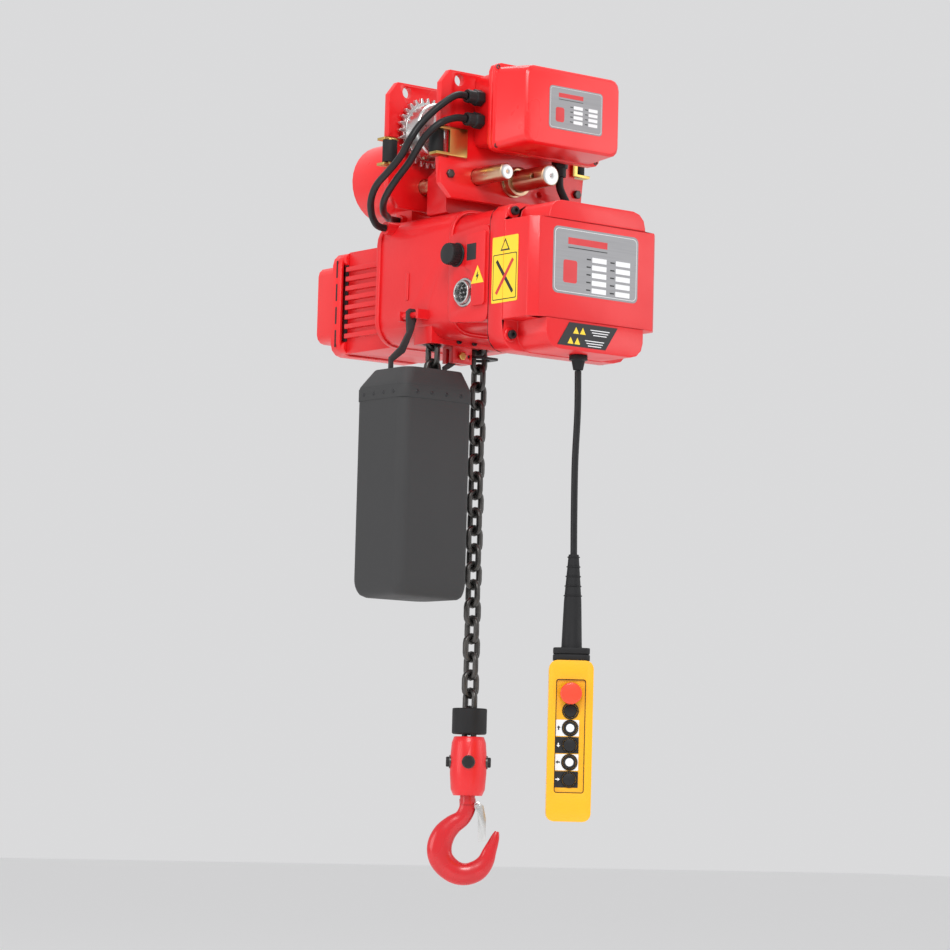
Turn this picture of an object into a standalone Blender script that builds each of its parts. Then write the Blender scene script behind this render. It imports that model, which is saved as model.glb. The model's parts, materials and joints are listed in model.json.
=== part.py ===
"""Electric chain hoist hanging in its motorised beam trolley.

X runs along the beam, Y across it, Z up. The origin is the middle of the trolley, on the rolling
surface of the beam's bottom flange. Everything is in metres.
"""

import math

import bmesh
import bpy
from mathutils import Matrix, Vector

GAP = 0.0003  # between pieces that touch
ROUND = 24  # sides of a turned piece
SLIP = 0.0006  # radial room of a turning fit

# Beam that the trolley is set for
FLANGE_HALF = 0.050
FLANGE_THICK = 0.011

# Trolley frame
PLATE_IN = 0.065  # inner face of a side plate, from the middle of the beam
PLATE_THICK = 0.012
PLATE_OUT = PLATE_IN + PLATE_THICK
PLATE_HALF = 0.153
PLATE_TOP = 0.128
PLATE_BOTTOM = -0.083
SHAFT_Z = -0.043
SHAFT_R = 0.018
SHAFT_FRONT = -0.178
SHAFT_REAR = 0.100
TIE_X = -0.073
TIE_R = 0.014
TIE_FRONT = -0.155
TIE_REAR = 0.096
RIGGING_HOLE = (-0.116, 0.113, 0.010)

# Wheels
WHEEL_X = 0.080
WHEEL_R = 0.047
WHEEL_IN = 0.020
WHEEL_OUT = 0.060
RIM_IN = FLANGE_HALF + 0.0015
AXLE_R = 0.012
TOOTH_MODULE = 0.004
WHEEL_TEETH = 28
PINION_TEETH = 14
ROLLER_X = 0.1505
ROLLER_R = 0.0125
ROLLER_Y = FLANGE_HALF + ROLLER_R + 0.001
ROLLER_LOW = -0.0105
ROLLER_HIGH = 0.0265
STRAP = 0.005  # thickness of the guide brackets

# Travel drive
TRAVEL_GEARBOX_BACK = 0.150
TRAVEL_MOTOR_R = 0.068
TRAVEL_MOTOR_Z = -0.003
TRAVEL_MOTOR_BACK = 0.289

# Trolley control box
BOX_RIM_Y = -0.134
BOX_FRONT_Y = -0.213
BOX_WALL = 0.003

# Hoist body
SHEAVE_R = 0.0485  # middle of the sheave to the middle of the load chain, which hangs at X = 0
SHEAVE_X = -SHEAVE_R
AXIS_Z = -0.205  # sheave and motor
BODY_HALF = 0.125
BODY_TOP = -0.100
BODY_BOTTOM = -0.310
BODY_FRONT = -0.080
BODY_BACK = 0.123
BODY_WALL = 0.008
MOTOR_HALF = 0.088
MOTOR_Z = -0.220
MOTOR_BACK = 0.265
FAN_HALF = 0.090
FAN_FRONT = 0.274
FAN_STEP = 0.300
FAN_SLOPE = 0.323
FAN_BACK = 0.370
FAN_WALL = 0.004

# Control end of the hoist
CONTROL_HALF = 0.125
CONTROL_BOTTOM = -0.304
CONTROL_TOP = -0.108
CONTROL_WALL = 0.006
COVER_BACK = -0.190
COVER_STEP = -0.228
COVER_FRONT = -0.302
COVER_HALF = 0.133
COVER_TOP = -0.108
COVER_BOTTOM = -0.348
COVER_NECK = 0.101
WING_TOP = -0.139
WING_BOTTOM = -0.300
WING_CHAMFER = 0.013
COVER_WALL = 0.006

# Chain
WIRE_R = 0.005
PITCH = 0.030
LINK_HALF_WIDTH = 0.017
CROWN = PITCH / 2 + WIRE_R - 0.0010  # link centre to the middle of its crown wire: neighbours bite 2 mm
LOAD_TOP = -0.214
LOAD_LINKS = 27
SLACK_X = -2 * SHEAVE_R
SLACK_TOP = -0.2165
SLACK_LINKS = 9

# Hook
BUMPER_TOP = -0.914
BUMPER_BOTTOM = -0.957
BUMPER_R = 0.029
BLOCK_R = 0.0305
BLOCK_BOTTOM = -1.058
HOOK_CENTRE = -1.141  # middle of the hook's bowl
HOOK_FLAT = 0.65  # thickness of the hook as a share of its width
VIEW_TURN = math.radians(-38)  # the hook and the handset hang turned by this much

# Chain container
BOX_X = (-0.206, -0.058)
BOX_Y = 0.066
BOX_TOP = -0.365
BOX_BOTTOM = -0.740
CONTAINER_WALL = 0.004

# Handset
HANDSET_X = 0.0
HANDSET_Y = -0.260
CORD_R = 0.0055
CORD_TOP = COVER_BOTTOM - 0.0255
BOOT_TOP = -0.671
HANDSET_TOP = -0.841
HANDSET_BOTTOM = -1.097
HANDSET_WIDTH = 0.071
HANDSET_DEPTH = 0.052
PANEL_DEPTH = 0.005
BUTTON_STEP = 0.0272
STOP_Z = -0.894
BUTTON_R = 0.0100

for old in list(bpy.data.objects):
    bpy.data.objects.remove(old)

parts = bpy.data.collections.new("chain_hoist")
cutters = bpy.data.collections.new("cutters")
bpy.context.scene.collection.children.link(parts)
bpy.context.scene.collection.children.link(cutters)


def finish(name, colour, roughness, metallic=0.0):
    """A plain material of one colour."""
    material = bpy.data.materials.new(name)
    material.use_nodes = True
    shader = material.node_tree.nodes["Principled BSDF"]
    shader.inputs["Base Color"].default_value = (*colour, 1)
    shader.inputs["Roughness"].default_value = roughness
    shader.inputs["Metallic"].default_value = metallic
    return material


RED = finish("red_enamel", (0.72, 0.03, 0.03), 0.35)
ZINC = finish("yellow_zinc", (0.45, 0.30, 0.12), 0.35, 0.9)
STEEL = finish("bright_steel", (0.60, 0.60, 0.60), 0.30, 1.0)
CHAIN = finish("black_chain", (0.03, 0.03, 0.03), 0.40, 0.8)
RUBBER = finish("black_rubber", (0.02, 0.02, 0.02), 0.70)
PLASTIC = finish("black_plastic", (0.03, 0.03, 0.03), 0.45)
CONTAINER = finish("grey_container", (0.06, 0.06, 0.06), 0.60)
YELLOW = finish("yellow_handset", (0.90, 0.50, 0.02), 0.45)
STOP_RED = finish("stop_red", (0.80, 0.05, 0.02), 0.40)
WHITE = finish("white_button", (0.85, 0.87, 0.87), 0.40)


# ---- shapes ----


def add(name, mesh, material, collection=parts):
    obj = bpy.data.objects.new(name, mesh)
    mesh.materials.clear()
    mesh.materials.append(material)
    collection.objects.link(obj)
    return obj


def hide(obj):
    """Makes an object a hidden operand of a Boolean."""
    for holder in list(obj.users_collection):
        holder.objects.unlink(obj)
    cutters.objects.link(obj)
    obj.hide_render = True
    obj.display_type = "WIRE"
    return obj


EXACT_FAILS = {"side_plate_front", "side_plate_rear", "main_housing"}


def boolean(obj, other, operation):
    modifier = obj.modifiers.new(operation.lower(), "BOOLEAN")
    modifier.operation = operation
    modifier.solver = "MANIFOLD" if obj.name in EXACT_FAILS else "EXACT"
    modifier.object = hide(other)
    return obj


def cut(obj, *others):
    for other in others:
        boolean(obj, other, "DIFFERENCE")
    return obj


def join(obj, *others):
    for other in others:
        boolean(obj, other, "UNION")
    return obj


def smooth(mesh, degrees=35):
    mesh.shade_smooth()
    mesh.set_sharp_from_angle(angle=math.radians(degrees))


def mesh_of(curve):
    """The welded mesh of a curve, which is then removed."""
    holder = bpy.data.objects.new("holder", curve)
    bpy.context.scene.collection.objects.link(holder)
    graph = bpy.context.evaluated_depsgraph_get()
    mesh = bpy.data.meshes.new_from_object(holder.evaluated_get(graph))
    bpy.data.objects.remove(holder)
    bpy.data.curves.remove(curve)
    work = bmesh.new()
    work.from_mesh(mesh)
    bmesh.ops.remove_doubles(work, verts=work.verts, dist=1e-6)
    bmesh.ops.recalc_face_normals(work, faces=work.faces)
    work.to_mesh(mesh)
    work.free()
    return mesh


AXES = {
    "X": Matrix(((0, 0, 1), (1, 0, 0), (0, 1, 0))).to_4x4(),  # outline in Y, Z
    "Y": Matrix(((1, 0, 0), (0, 0, -1), (0, 1, 0))).to_4x4(),  # outline in X, Z
    "Z": Matrix.Identity(4),  # outline in X, Y
}
LENGTHWISE = {"X": Vector((1, 0, 0)), "Y": Vector((0, 1, 0)), "Z": Vector((0, 0, 1))}


def prism(name, loops, axis, low, high, material=RED, origin=(0, 0, 0)):
    """A flat outline, with any holes as further loops, given thickness from low to high along axis."""
    curve = bpy.data.curves.new(name, "CURVE")
    curve.dimensions = "2D"
    curve.fill_mode = "BOTH"
    curve.extrude = (high - low) / 2
    for loop in loops:
        spline = curve.splines.new("POLY")
        spline.points.add(len(loop) - 1)
        for point, (across, up) in zip(spline.points, loop):
            point.co = (across, up, 0, 1)
        spline.use_cyclic_u = True
    mesh = mesh_of(curve)
    middle = LENGTHWISE[axis] * ((low + high) / 2)
    mesh.transform(Matrix.Translation(middle - Vector(origin)) @ AXES[axis])
    obj = add(name, mesh, material)
    obj.location = origin
    return obj


def box(name, low, high, material=RED):
    loop = [(low[0], low[1]), (high[0], low[1]), (high[0], high[1]), (low[0], high[1])]
    return prism(name, [loop], "Z", low[2], high[2], material)


def rounded(corners, radius, steps=3):
    """The outline with each corner turned into an arc."""
    found = []
    for index, here in enumerate(corners):
        before = Vector(corners[index - 1]) - Vector(here)
        after = Vector(corners[(index + 1) % len(corners)]) - Vector(here)
        half = before.angle(after) / 2
        reach = min(radius / math.tan(half), before.length * 0.49, after.length * 0.49)
        start = Vector(here) + before.normalized() * reach
        end = Vector(here) + after.normalized() * reach
        centre = Vector(here) + (before.normalized() + after.normalized()).normalized() * (reach / math.cos(half))
        first = start - centre
        turn = first.angle_signed(end - centre)
        for step in range(steps + 1):
            spoke = first.copy()
            spoke.rotate(Matrix.Rotation(-turn * step / steps, 2))
            found.append(tuple(centre + spoke))
    return found


def rectangle(low_u, low_v, high_u, high_v, radius=0.0, steps=3):
    corners = [(low_u, low_v), (high_u, low_v), (high_u, high_v), (low_u, high_v)]
    return rounded(corners, radius, steps) if radius else corners


def circle(across, up, radius, count=ROUND):
    turns = [2 * math.pi * (index + 0.5) / count for index in range(count)]
    return [(across + radius * math.cos(turn), up + radius * math.sin(turn)) for turn in turns]


def rod(name, axis, centre, radius, low, high, material=STEEL, count=ROUND, origin=None):
    """A cylinder along axis; centre gives the other two coordinates in X, Y, Z order."""
    if origin is None:
        origin = (0, 0, 0)
    return prism(name, [circle(*centre, radius, count)], axis, low, high, material, origin)


def turned(name, profile, axis, origin, material, steps=ROUND, closed=False):
    """A profile of (radius, height) turned about the axis through origin; it runs down the outside."""
    work = bmesh.new()
    verts = [work.verts.new((radius, 0, height)) for radius, height in profile]
    pairs = list(zip(verts, verts[1:]))
    if closed:
        pairs.append((verts[-1], verts[0]))
    for pair in pairs:
        work.edges.new(pair)
    mesh = bpy.data.meshes.new(name)
    work.to_mesh(mesh)
    work.free()
    obj = add(name, mesh, material)
    obj.location = origin
    obj.rotation_euler = {"X": (0, math.pi / 2, 0), "Y": (-math.pi / 2, 0, 0), "Z": (0, 0, 0)}[axis]
    screw = obj.modifiers.new("turn", "SCREW")
    screw.steps = steps
    screw.render_steps = steps
    screw.use_merge_vertices = True
    screw.merge_threshold = 1e-5
    screw.use_smooth_shade = True
    return obj


def loft(name, sections, material, open_end=False):
    """Rings of the same number of points joined in order; the last one can be left open."""
    work = bmesh.new()
    rings = [[work.verts.new(point) for point in section] for section in sections]
    for ring, following in zip(rings, rings[1:]):
        for index in range(len(ring)):
            corners = (ring[index - 1], ring[index], following[index], following[index - 1])
            work.faces.new(corners)
    work.faces.new(rings[0])
    if not open_end:
        work.faces.new(rings[-1])
    bmesh.ops.recalc_face_normals(work, faces=work.faces)
    mesh = bpy.data.meshes.new(name)
    work.to_mesh(mesh)
    work.free()
    return add(name, mesh, material)


def thicken(obj, wall):
    """Gives an open surface its wall, inwards."""
    modifier = obj.modifiers.new("wall", "SOLIDIFY")
    modifier.thickness = wall
    modifier.offset = -1
    modifier.use_even_offset = True
    return obj


def tube(name, points, radius, material, closed=False, resolution=2, radii=None):
    curve = bpy.data.curves.new(name, "CURVE")
    curve.dimensions = "3D"
    curve.bevel_depth = radius
    curve.bevel_resolution = resolution
    curve.use_fill_caps = not closed
    spline = curve.splines.new("POLY")
    spline.points.add(len(points) - 1)
    for index, (point, place) in enumerate(zip(spline.points, points)):
        point.co = (*place, 1)
        point.radius = radii[index] / radius if radii else 1
    spline.use_cyclic_u = closed
    curve.materials.append(material)
    return curve


def cord(name, route, radius, spacing=0.020):
    """A tube through the route's points on a smooth curve."""
    ends = [Vector(point) for point in (route[0], *route, route[-1])]
    smooth_points = []
    for before, start, end, after in zip(ends, ends[1:], ends[2:], ends[3:]):
        steps = max(1, round((end - start).length / spacing))
        for step in range(steps):
            share = step / steps
            slope_in = (end - before) / 2
            slope_out = (after - start) / 2
            smooth_points.append(
                start * (2 * share**3 - 3 * share**2 + 1)
                + slope_in * (share**3 - 2 * share**2 + share)
                + end * (3 * share**2 - 2 * share**3)
                + slope_out * (share**3 - share**2)
            )
    smooth_points.append(ends[-1])
    obj = bpy.data.objects.new(name, tube(name, smooth_points, radius, RUBBER))
    parts.objects.link(obj)
    return obj


def gear(name, teeth, module, axis, low, high, centre, material=STEEL, first=0.0, bore=None):
    """A spur gear with a tooth centred at the angle first, measured from the first in-plane axis."""
    pitch_r = teeth * module / 2
    root = pitch_r - 1.2 * module
    tip = pitch_r + 0.85 * module
    step = 2 * math.pi / teeth
    loop = []
    for tooth in range(teeth):
        middle = first + tooth * step
        for radius, side in ((root, -0.29), (tip, -0.10), (tip, 0.10), (root, 0.29)):
            turn = middle + side * step
            loop.append((centre[0] + radius * math.cos(turn), centre[1] + radius * math.sin(turn)))
    loops = [loop]
    if bore:
        loops.append(circle(*centre, bore))
    origin = {"X": (0, *centre), "Y": (centre[0], 0, centre[1]), "Z": (*centre, 0)}[axis]
    return prism(name, loops, axis, low, high, material, origin)


def mating_tooth(centre, teeth, other_centre, other_teeth, other_first):
    """The angle of a first tooth that puts a gap of this gear over the other gear's tooth."""
    toward = math.atan2(other_centre[1] - centre[1], other_centre[0] - centre[0])
    share = ((toward + math.pi - other_first) / (2 * math.pi / other_teeth)) % 1
    return toward + (share + 0.5) * 2 * math.pi / teeth


# ---- trolley frame ----


def plate_outline():
    """Half plate from the middle of its bottom edge round to the middle of its top edge, mirrored."""
    notch_low = ROLLER_LOW - STRAP - 0.003
    notch_high = ROLLER_HIGH + STRAP + 0.003
    notch_in = ROLLER_X - ROLLER_R - 0.004
    half = [
        (0.126, PLATE_BOTTOM),
        (PLATE_HALF - 0.004, PLATE_BOTTOM + 0.022),
        (PLATE_HALF, notch_low),
        (notch_in, notch_low),
        (notch_in, notch_high),
        (PLATE_HALF, notch_high),
        (PLATE_HALF, PLATE_TOP - 0.022),
        (PLATE_HALF - 0.017, PLATE_TOP),
    ]
    return half + [(-across, up) for across, up in reversed(half)]


def pinion_place():
    reach = (WHEEL_TEETH + PINION_TEETH) * TOOTH_MODULE / 2
    return 0.0, WHEEL_R - math.sqrt(reach**2 - WHEEL_X**2)


PINION_X, PINION_Z = pinion_place()
PINION_SHAFT_R = 0.009
PINION_FIRST = math.atan2(WHEEL_R - PINION_Z, -WHEEL_X - PINION_X)


def side_plate(name, side):
    faces = sorted((side * PLATE_IN, side * PLATE_OUT))
    holes = [
        circle(0, SHAFT_Z, SHAFT_R + GAP + 0.0003),
        circle(TIE_X, SHAFT_Z, TIE_R + GAP + 0.0003),
        circle(RIGGING_HOLE[0], RIGGING_HOLE[1], RIGGING_HOLE[2]),
        circle(0.058, -0.056, 0.006, 12),
    ]
    if side > 0:
        holes.append(circle(PINION_X, PINION_Z, PINION_SHAFT_R + 0.003))
    plate = prism(name, [plate_outline(), *holes], "Y", *faces)
    for wheel_x in (-WHEEL_X, WHEEL_X):
        ends = sorted((side * (WHEEL_IN - 0.002), side * (PLATE_IN + 0.004)))
        join(plate, rod(name + "_axle", "Y", (wheel_x, WHEEL_R), AXLE_R, *ends))
        shoulder = sorted((side * (WHEEL_OUT + 0.001), side * (PLATE_IN + 0.003)))
        join(plate, rod(name + "_shoulder", "Y", (wheel_x, WHEEL_R), AXLE_R + 0.006, *shoulder))
    return plate


side_plate("side_plate_front", -1)
side_plate("side_plate_rear", 1)

main_shaft = turned(
    "main_shaft",
    [
        (0, SHAFT_REAR),
        (SHAFT_R + 0.006, SHAFT_REAR),
        (SHAFT_R + 0.006, PLATE_OUT + GAP),
        (SHAFT_R, PLATE_OUT + GAP),
        (SHAFT_R, SHAFT_FRONT + 0.0015),
        (SHAFT_R - 0.0015, SHAFT_FRONT),
        (0.003, SHAFT_FRONT),
        (0, SHAFT_FRONT + 0.003),
    ],
    "Y",
    (0, 0, SHAFT_Z),
    ZINC,
)
cut(main_shaft, rod("split_pin_hole", "X", (SHAFT_FRONT + 0.026, SHAFT_Z), 0.004, -0.03, 0.03, count=12))

turned(
    "tie_shaft",
    [
        (0, TIE_REAR),
        (TIE_R + 0.005, TIE_REAR),
        (TIE_R + 0.005, PLATE_OUT + GAP),
        (TIE_R, PLATE_OUT + GAP),
        (TIE_R, TIE_FRONT + 0.0015),
        (TIE_R - 0.0015, TIE_FRONT),
        (0, TIE_FRONT),
    ],
    "Y",
    (TIE_X, 0, SHAFT_Z),
    ZINC,
)

collar_inner = SHAFT_R + GAP + 0.0003
turned(
    "shaft_collar",
    [
        (collar_inner, -PLATE_OUT - GAP),
        (0.0255, -PLATE_OUT - GAP),
        (0.0255, -PLATE_OUT - 0.005),
        (0.0225, -PLATE_OUT - 0.005),
        (0.0225, -PLATE_OUT - 0.015),
        (0.0245, -PLATE_OUT - 0.015),
        (0.0245, -PLATE_OUT - 0.020),
        (collar_inner, -PLATE_OUT - 0.020),
    ],
    "Y",
    (0, 0, SHAFT_Z),
    ZINC,
    closed=True,
)


def wheel(name, across, side, toothed):
    """A wheel on its axle: plain rim flange in front, gear rim behind."""
    bore = AXLE_R + SLIP
    rim_r = WHEEL_R + 0.008
    outline = [
        (bore, WHEEL_OUT),
        (rim_r, WHEEL_OUT),
        (rim_r, RIM_IN),
        (WHEEL_R, RIM_IN),
        (WHEEL_R, WHEEL_IN + 0.003),
        (WHEEL_R - 0.003, WHEEL_IN),
        (bore, WHEEL_IN),
    ]
    if toothed:
        outline = [
            (bore, RIM_IN + 0.004),
            (WHEEL_R, RIM_IN + 0.004),
            (WHEEL_R, WHEEL_IN + 0.003),
            (WHEEL_R - 0.003, WHEEL_IN),
            (bore, WHEEL_IN),
        ]
    profile = outline if side > 0 else [(radius, -height) for radius, height in reversed(outline)]
    body = turned(name, profile, "Y", (across, 0, WHEEL_R), STEEL, closed=True)
    if toothed:
        first = mating_tooth((across, WHEEL_R), WHEEL_TEETH, (PINION_X, PINION_Z), PINION_TEETH, PINION_FIRST)
        rim = gear(
            name + "_teeth",
            WHEEL_TEETH,
            TOOTH_MODULE,
            "Y",
            RIM_IN,
            WHEEL_OUT,
            (across, WHEEL_R),
            first=first,
            bore=bore + 0.002,
        )
        join(body, rim)
    return body


wheel("wheel_front_left", -WHEEL_X, -1, False)
wheel("wheel_front_right", WHEEL_X, -1, False)
wheel("wheel_rear_left", -WHEEL_X, 1, True)
wheel("wheel_rear_right", WHEEL_X, 1, True)

pinion = gear(
    "drive_pinion", PINION_TEETH, TOOTH_MODULE, "Y", RIM_IN, WHEEL_OUT + 0.002,
    (PINION_X, PINION_Z), first=PINION_FIRST,
)
join(
    pinion,
    rod("pinion_shaft", "Y", (PINION_X, PINION_Z), PINION_SHAFT_R, WHEEL_OUT - 0.004, PLATE_OUT + 0.020),
)


def guide(label, left, front, leg_start=0.100):
    """A folded bracket at a plate corner, and the roller that runs on the flange's edge."""
    side_x = -1 if left else 1
    side_y = -1 if front else 1

    def span(sign, first, second):
        return sorted((sign * first, sign * second))

    leg_x = span(side_x, leg_start, ROLLER_X - ROLLER_R - 0.002)
    leg_y = span(side_y, PLATE_OUT + GAP, PLATE_OUT + GAP + STRAP)
    low = ROLLER_LOW - STRAP
    high = ROLLER_HIGH + STRAP
    bracket = box(f"guide_bracket_{label}", (leg_x[0], leg_y[0], low), (leg_x[1], leg_y[1], high), ZINC)
    arm_x = span(side_x, ROLLER_X - ROLLER_R - 0.003, ROLLER_X + ROLLER_R)
    arm_y = span(side_y, WHEEL_OUT + 0.0015, PLATE_OUT + GAP + STRAP)
    for bottom, top in ((low, low + STRAP - SLIP), (high - STRAP + SLIP, high)):
        join(bracket, box("arm", (arm_x[0], arm_y[0], bottom), (arm_x[1], arm_y[1], top)))
    place = (side_x * ROLLER_X, side_y * ROLLER_Y)
    join(bracket, rod("guide_pin", "Z", place, 0.004, low + 0.002, high - 0.002, count=16))
    rod(
        f"guide_roller_{label}", "Z", place, ROLLER_R, ROLLER_LOW, ROLLER_HIGH, RUBBER, 20,
        (*place, (ROLLER_LOW + ROLLER_HIGH) / 2),
    )
    roller = bpy.data.objects[f"guide_roller_{label}"]
    cut(roller, rod("roller_bore", "Z", place, 0.0048, low, high, count=16))


guide("front_left", True, True)
guide("front_right", False, True, 0.1265)
guide("rear_left", True, False)
guide("rear_right", False, False)

# ---- travel drive ----

gearbox_outline = rounded([(-0.058, SHAFT_Z + SHAFT_R + 0.008), (0.058, SHAFT_Z + SHAFT_R + 0.008),
                           (0.058, 0.045), (0.030, 0.072), (-0.030, 0.072), (-0.058, 0.045)], 0.010, 2)
gearbox = prism("travel_gearbox", [gearbox_outline], "Y", PLATE_OUT + GAP, TRAVEL_GEARBOX_BACK)
cut(
    gearbox,
    rod("pinion_bore", "Y", (PINION_X, PINION_Z), PINION_SHAFT_R + 0.001, PLATE_OUT - 0.01, PLATE_OUT + 0.024),
)
motor_front = TRAVEL_GEARBOX_BACK + GAP
turned(
    "travel_motor",
    [
        (0, TRAVEL_MOTOR_BACK),
        (TRAVEL_MOTOR_R - 0.008, TRAVEL_MOTOR_BACK),
        (TRAVEL_MOTOR_R, TRAVEL_MOTOR_BACK - 0.008),
        (TRAVEL_MOTOR_R, motor_front),
        (TRAVEL_MOTOR_R - 0.006, motor_front),
        (TRAVEL_MOTOR_R - 0.006, TRAVEL_MOTOR_BACK - 0.012),
        (TRAVEL_MOTOR_R - 0.012, TRAVEL_MOTOR_BACK - 0.006),
        (0, TRAVEL_MOTOR_BACK - 0.006),
    ],
    "Y",
    (0, 0, TRAVEL_MOTOR_Z),
    RED,
    steps=32,
)

travel_motor = bpy.data.objects["travel_motor"]
TERMINAL_Y = 0.180
TERMINAL_Z = -0.082
terminal = box("terminal_box", (-0.030, TERMINAL_Y - 0.022, -0.096), (0.030, TERMINAL_Y + 0.022, -0.060))
terminal_nut = rod("terminal_nut", "X", (TERMINAL_Y, TERMINAL_Z), 0.011, -0.040, -0.028, count=6)
join(travel_motor, terminal, terminal_nut)

# ---- trolley control box ----


def ring(outline, depth):
    return [(across, depth, up) for across, up in outline]


base = thicken(
    loft(
        "travel_box_base",
        [
            ring(rectangle(-0.083, 0.006, 0.123, 0.124, 0.010, 2), -PLATE_OUT - GAP),
            ring(rectangle(-0.085, 0.004, 0.125, 0.126, 0.010, 2), BOX_RIM_Y + 0.010),
            ring(rectangle(-0.093, -0.008, 0.135, 0.138, 0.014, 2), BOX_RIM_Y + 0.009),
            ring(rectangle(-0.093, -0.008, 0.135, 0.138, 0.014, 2), BOX_RIM_Y + GAP),
        ],
        RED,
        open_end=True,
    ),
    BOX_WALL,
)
lid = thicken(
    loft(
        "travel_box_lid",
        [
            ring(rectangle(-0.079, 0.001, 0.112, 0.122, 0.016, 3), BOX_FRONT_Y),
            ring(rectangle(-0.083, -0.003, 0.116, 0.126, 0.016, 3), BOX_FRONT_Y + 0.004),
            ring(rectangle(-0.089, -0.006, 0.122, 0.132, 0.014, 3), BOX_RIM_Y - 0.007),
            ring(rectangle(-0.093, -0.008, 0.135, 0.138, 0.014, 3), BOX_RIM_Y - 0.006),
            ring(rectangle(-0.093, -0.008, 0.135, 0.138, 0.014, 3), BOX_RIM_Y),
        ],
        RED,
        open_end=True,
    ),
    BOX_WALL,
)


def gland(name, axis, place, start, end, bore_r):
    """A cable gland: hexagon at its seat, round dome towards the cable."""
    toward = 1 if end > start else -1
    mid = start + toward * 0.015
    body = rod(name, axis, place, 0.0140, *sorted((start, mid)), PLASTIC, 6)
    dome = rod(name + "_dome", axis, place, 0.0110, *sorted((start + toward * 0.004, end)), PLASTIC, 16)
    join(body, dome)
    depth = end - toward * 0.010
    return cut(body, rod(name + "_bore", axis, place, bore_r, *sorted((depth, end + toward * 0.004)), count=16))


BOX_LEFT = -0.085
GLAND_Y = -0.097
gland("gland_link", "X", (GLAND_Y, 0.084), BOX_LEFT - GAP - 0.0003, BOX_LEFT - 0.031, 0.0066)
gland("gland_travel", "X", (GLAND_Y, 0.046), BOX_LEFT - GAP - 0.0003, BOX_LEFT - 0.031, 0.0066)
gland("gland_supply", "Z", (0.080, -0.103), 0.004 - GAP, -0.026, 0.0076)

# ---- hoist body ----

GUIDE_X = (-0.1187, 0.0237)
GUIDE_Y = 0.0237
GUIDE_TOP = -0.285
GUIDE_BOTTOM = -0.318
PEG = (-0.137, -0.272)
PEG_R = 0.005
BEARING_END = 0.112
SHEAVE_SHAFT_R = 0.010
IDLER_SHAFT_R = 0.008
ROTOR_SHAFT_R = 0.007
SHEAVE_TEETH = (34, 0.0025)
IDLER_SMALL = (14, 0.0025)
IDLER_LARGE = (36, 0.002)
ROTOR_TEETH = (14, 0.002)


def idler_place():
    """Above the line of the two shafts, at the right distance from each."""
    first = (SHEAVE_TEETH[0] + IDLER_SMALL[0]) * SHEAVE_TEETH[1] / 2
    second = (IDLER_LARGE[0] + ROTOR_TEETH[0]) * ROTOR_TEETH[1] / 2
    along = (SHEAVE_R**2 + first**2 - second**2) / (2 * SHEAVE_R)
    return SHEAVE_X + along, AXIS_Z + math.sqrt(first**2 - along**2)


IDLER = idler_place()
SHEAVE = (SHEAVE_X, AXIS_Z)
ROTOR = (0.0, AXIS_Z)

body_loop = rectangle(-BODY_HALF, BODY_BOTTOM, BODY_HALF, BODY_TOP, 0.040, 4)
housing = thicken(
    loft("main_housing", [ring(body_loop, BODY_BACK), ring(body_loop, BODY_FRONT)], RED, open_end=True),
    BODY_WALL,
)
join(
    housing,
    rod("sheave_boss", "Y", SHEAVE, 0.018, 0.098, BODY_BACK - 0.004),
    rod("idler_boss", "Y", IDLER, 0.015, 0.092, BODY_BACK - 0.004),
    rod("link_port", "X", (0.092, -0.116), 0.011, -0.134, -0.104, count=16),
    box("peg_ear_front", (PEG[0] - 0.008, -0.020, PEG[1] - 0.008), (-0.119, -0.014, PEG[1] + 0.008)),
    box("peg_ear_back", (PEG[0] - 0.008, 0.030, PEG[1] - 0.008), (-0.119, 0.036, PEG[1] + 0.008)),
    rod("container_peg", "Y", PEG, PEG_R, -0.018, 0.034, count=12),
)
cut(
    housing,
    rod("sheave_bearing", "Y", SHEAVE, SHEAVE_SHAFT_R + SLIP, 0.090, BEARING_END + 0.0015),
    rod("idler_bearing", "Y", IDLER, IDLER_SHAFT_R + SLIP, 0.080, BEARING_END + 0.0015),
    rod("rotor_bearing", "Y", ROTOR, ROTOR_SHAFT_R + SLIP, 0.100, BODY_BACK + 0.010),
    box(
        "guide_seat",
        (GUIDE_X[0] - GAP, -GUIDE_Y - GAP, BODY_BOTTOM - 0.020),
        (GUIDE_X[1] + GAP, GUIDE_Y + GAP, GUIDE_TOP + 0.023),
    ),
)

YOKE_HALF = 0.098
YOKE_DEEP = 0.026
YOKE_TOP = -FLANGE_THICK - 0.005
yoke_loop = rounded(
    [
        (-YOKE_HALF, BODY_TOP + GAP),
        (YOKE_HALF, BODY_TOP + GAP),
        (YOKE_HALF, YOKE_TOP - 0.018),
        (YOKE_HALF - 0.018, YOKE_TOP),
        (-YOKE_HALF + 0.018, YOKE_TOP),
        (-YOKE_HALF, YOKE_TOP - 0.018),
    ],
    0.006,
    2,
)
prism(
    "suspender",
    [yoke_loop, circle(0, SHAFT_Z, SHAFT_R + GAP + 0.0003), circle(TIE_X, SHAFT_Z, TIE_R + GAP + 0.0003)],
    "Y",
    -YOKE_DEEP,
    YOKE_DEEP,
)


def finned(half, fins=8, depth=0.007):
    """A square outline with fins on its two flanks."""
    pitch = 2 * (half - 0.018) / (2 * fins + 1)
    flank = [(half - depth, -half)]
    level = -half + 0.018 + pitch
    for _ in range(fins):
        flank.append((half - depth, level))
        flank.append((half, level))
        flank.append((half, level + pitch))
        flank.append((half - depth, level + pitch))
        level += 2 * pitch
    flank.append((half - depth, half))
    right = [(across, MOTOR_Z + up) for across, up in flank]
    return right + [(-across, up) for across, up in reversed(right)]


prism("motor_housing", [finned(MOTOR_HALF), circle(*ROTOR, 0.060)], "Y", BODY_BACK + GAP, MOTOR_BACK)

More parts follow.
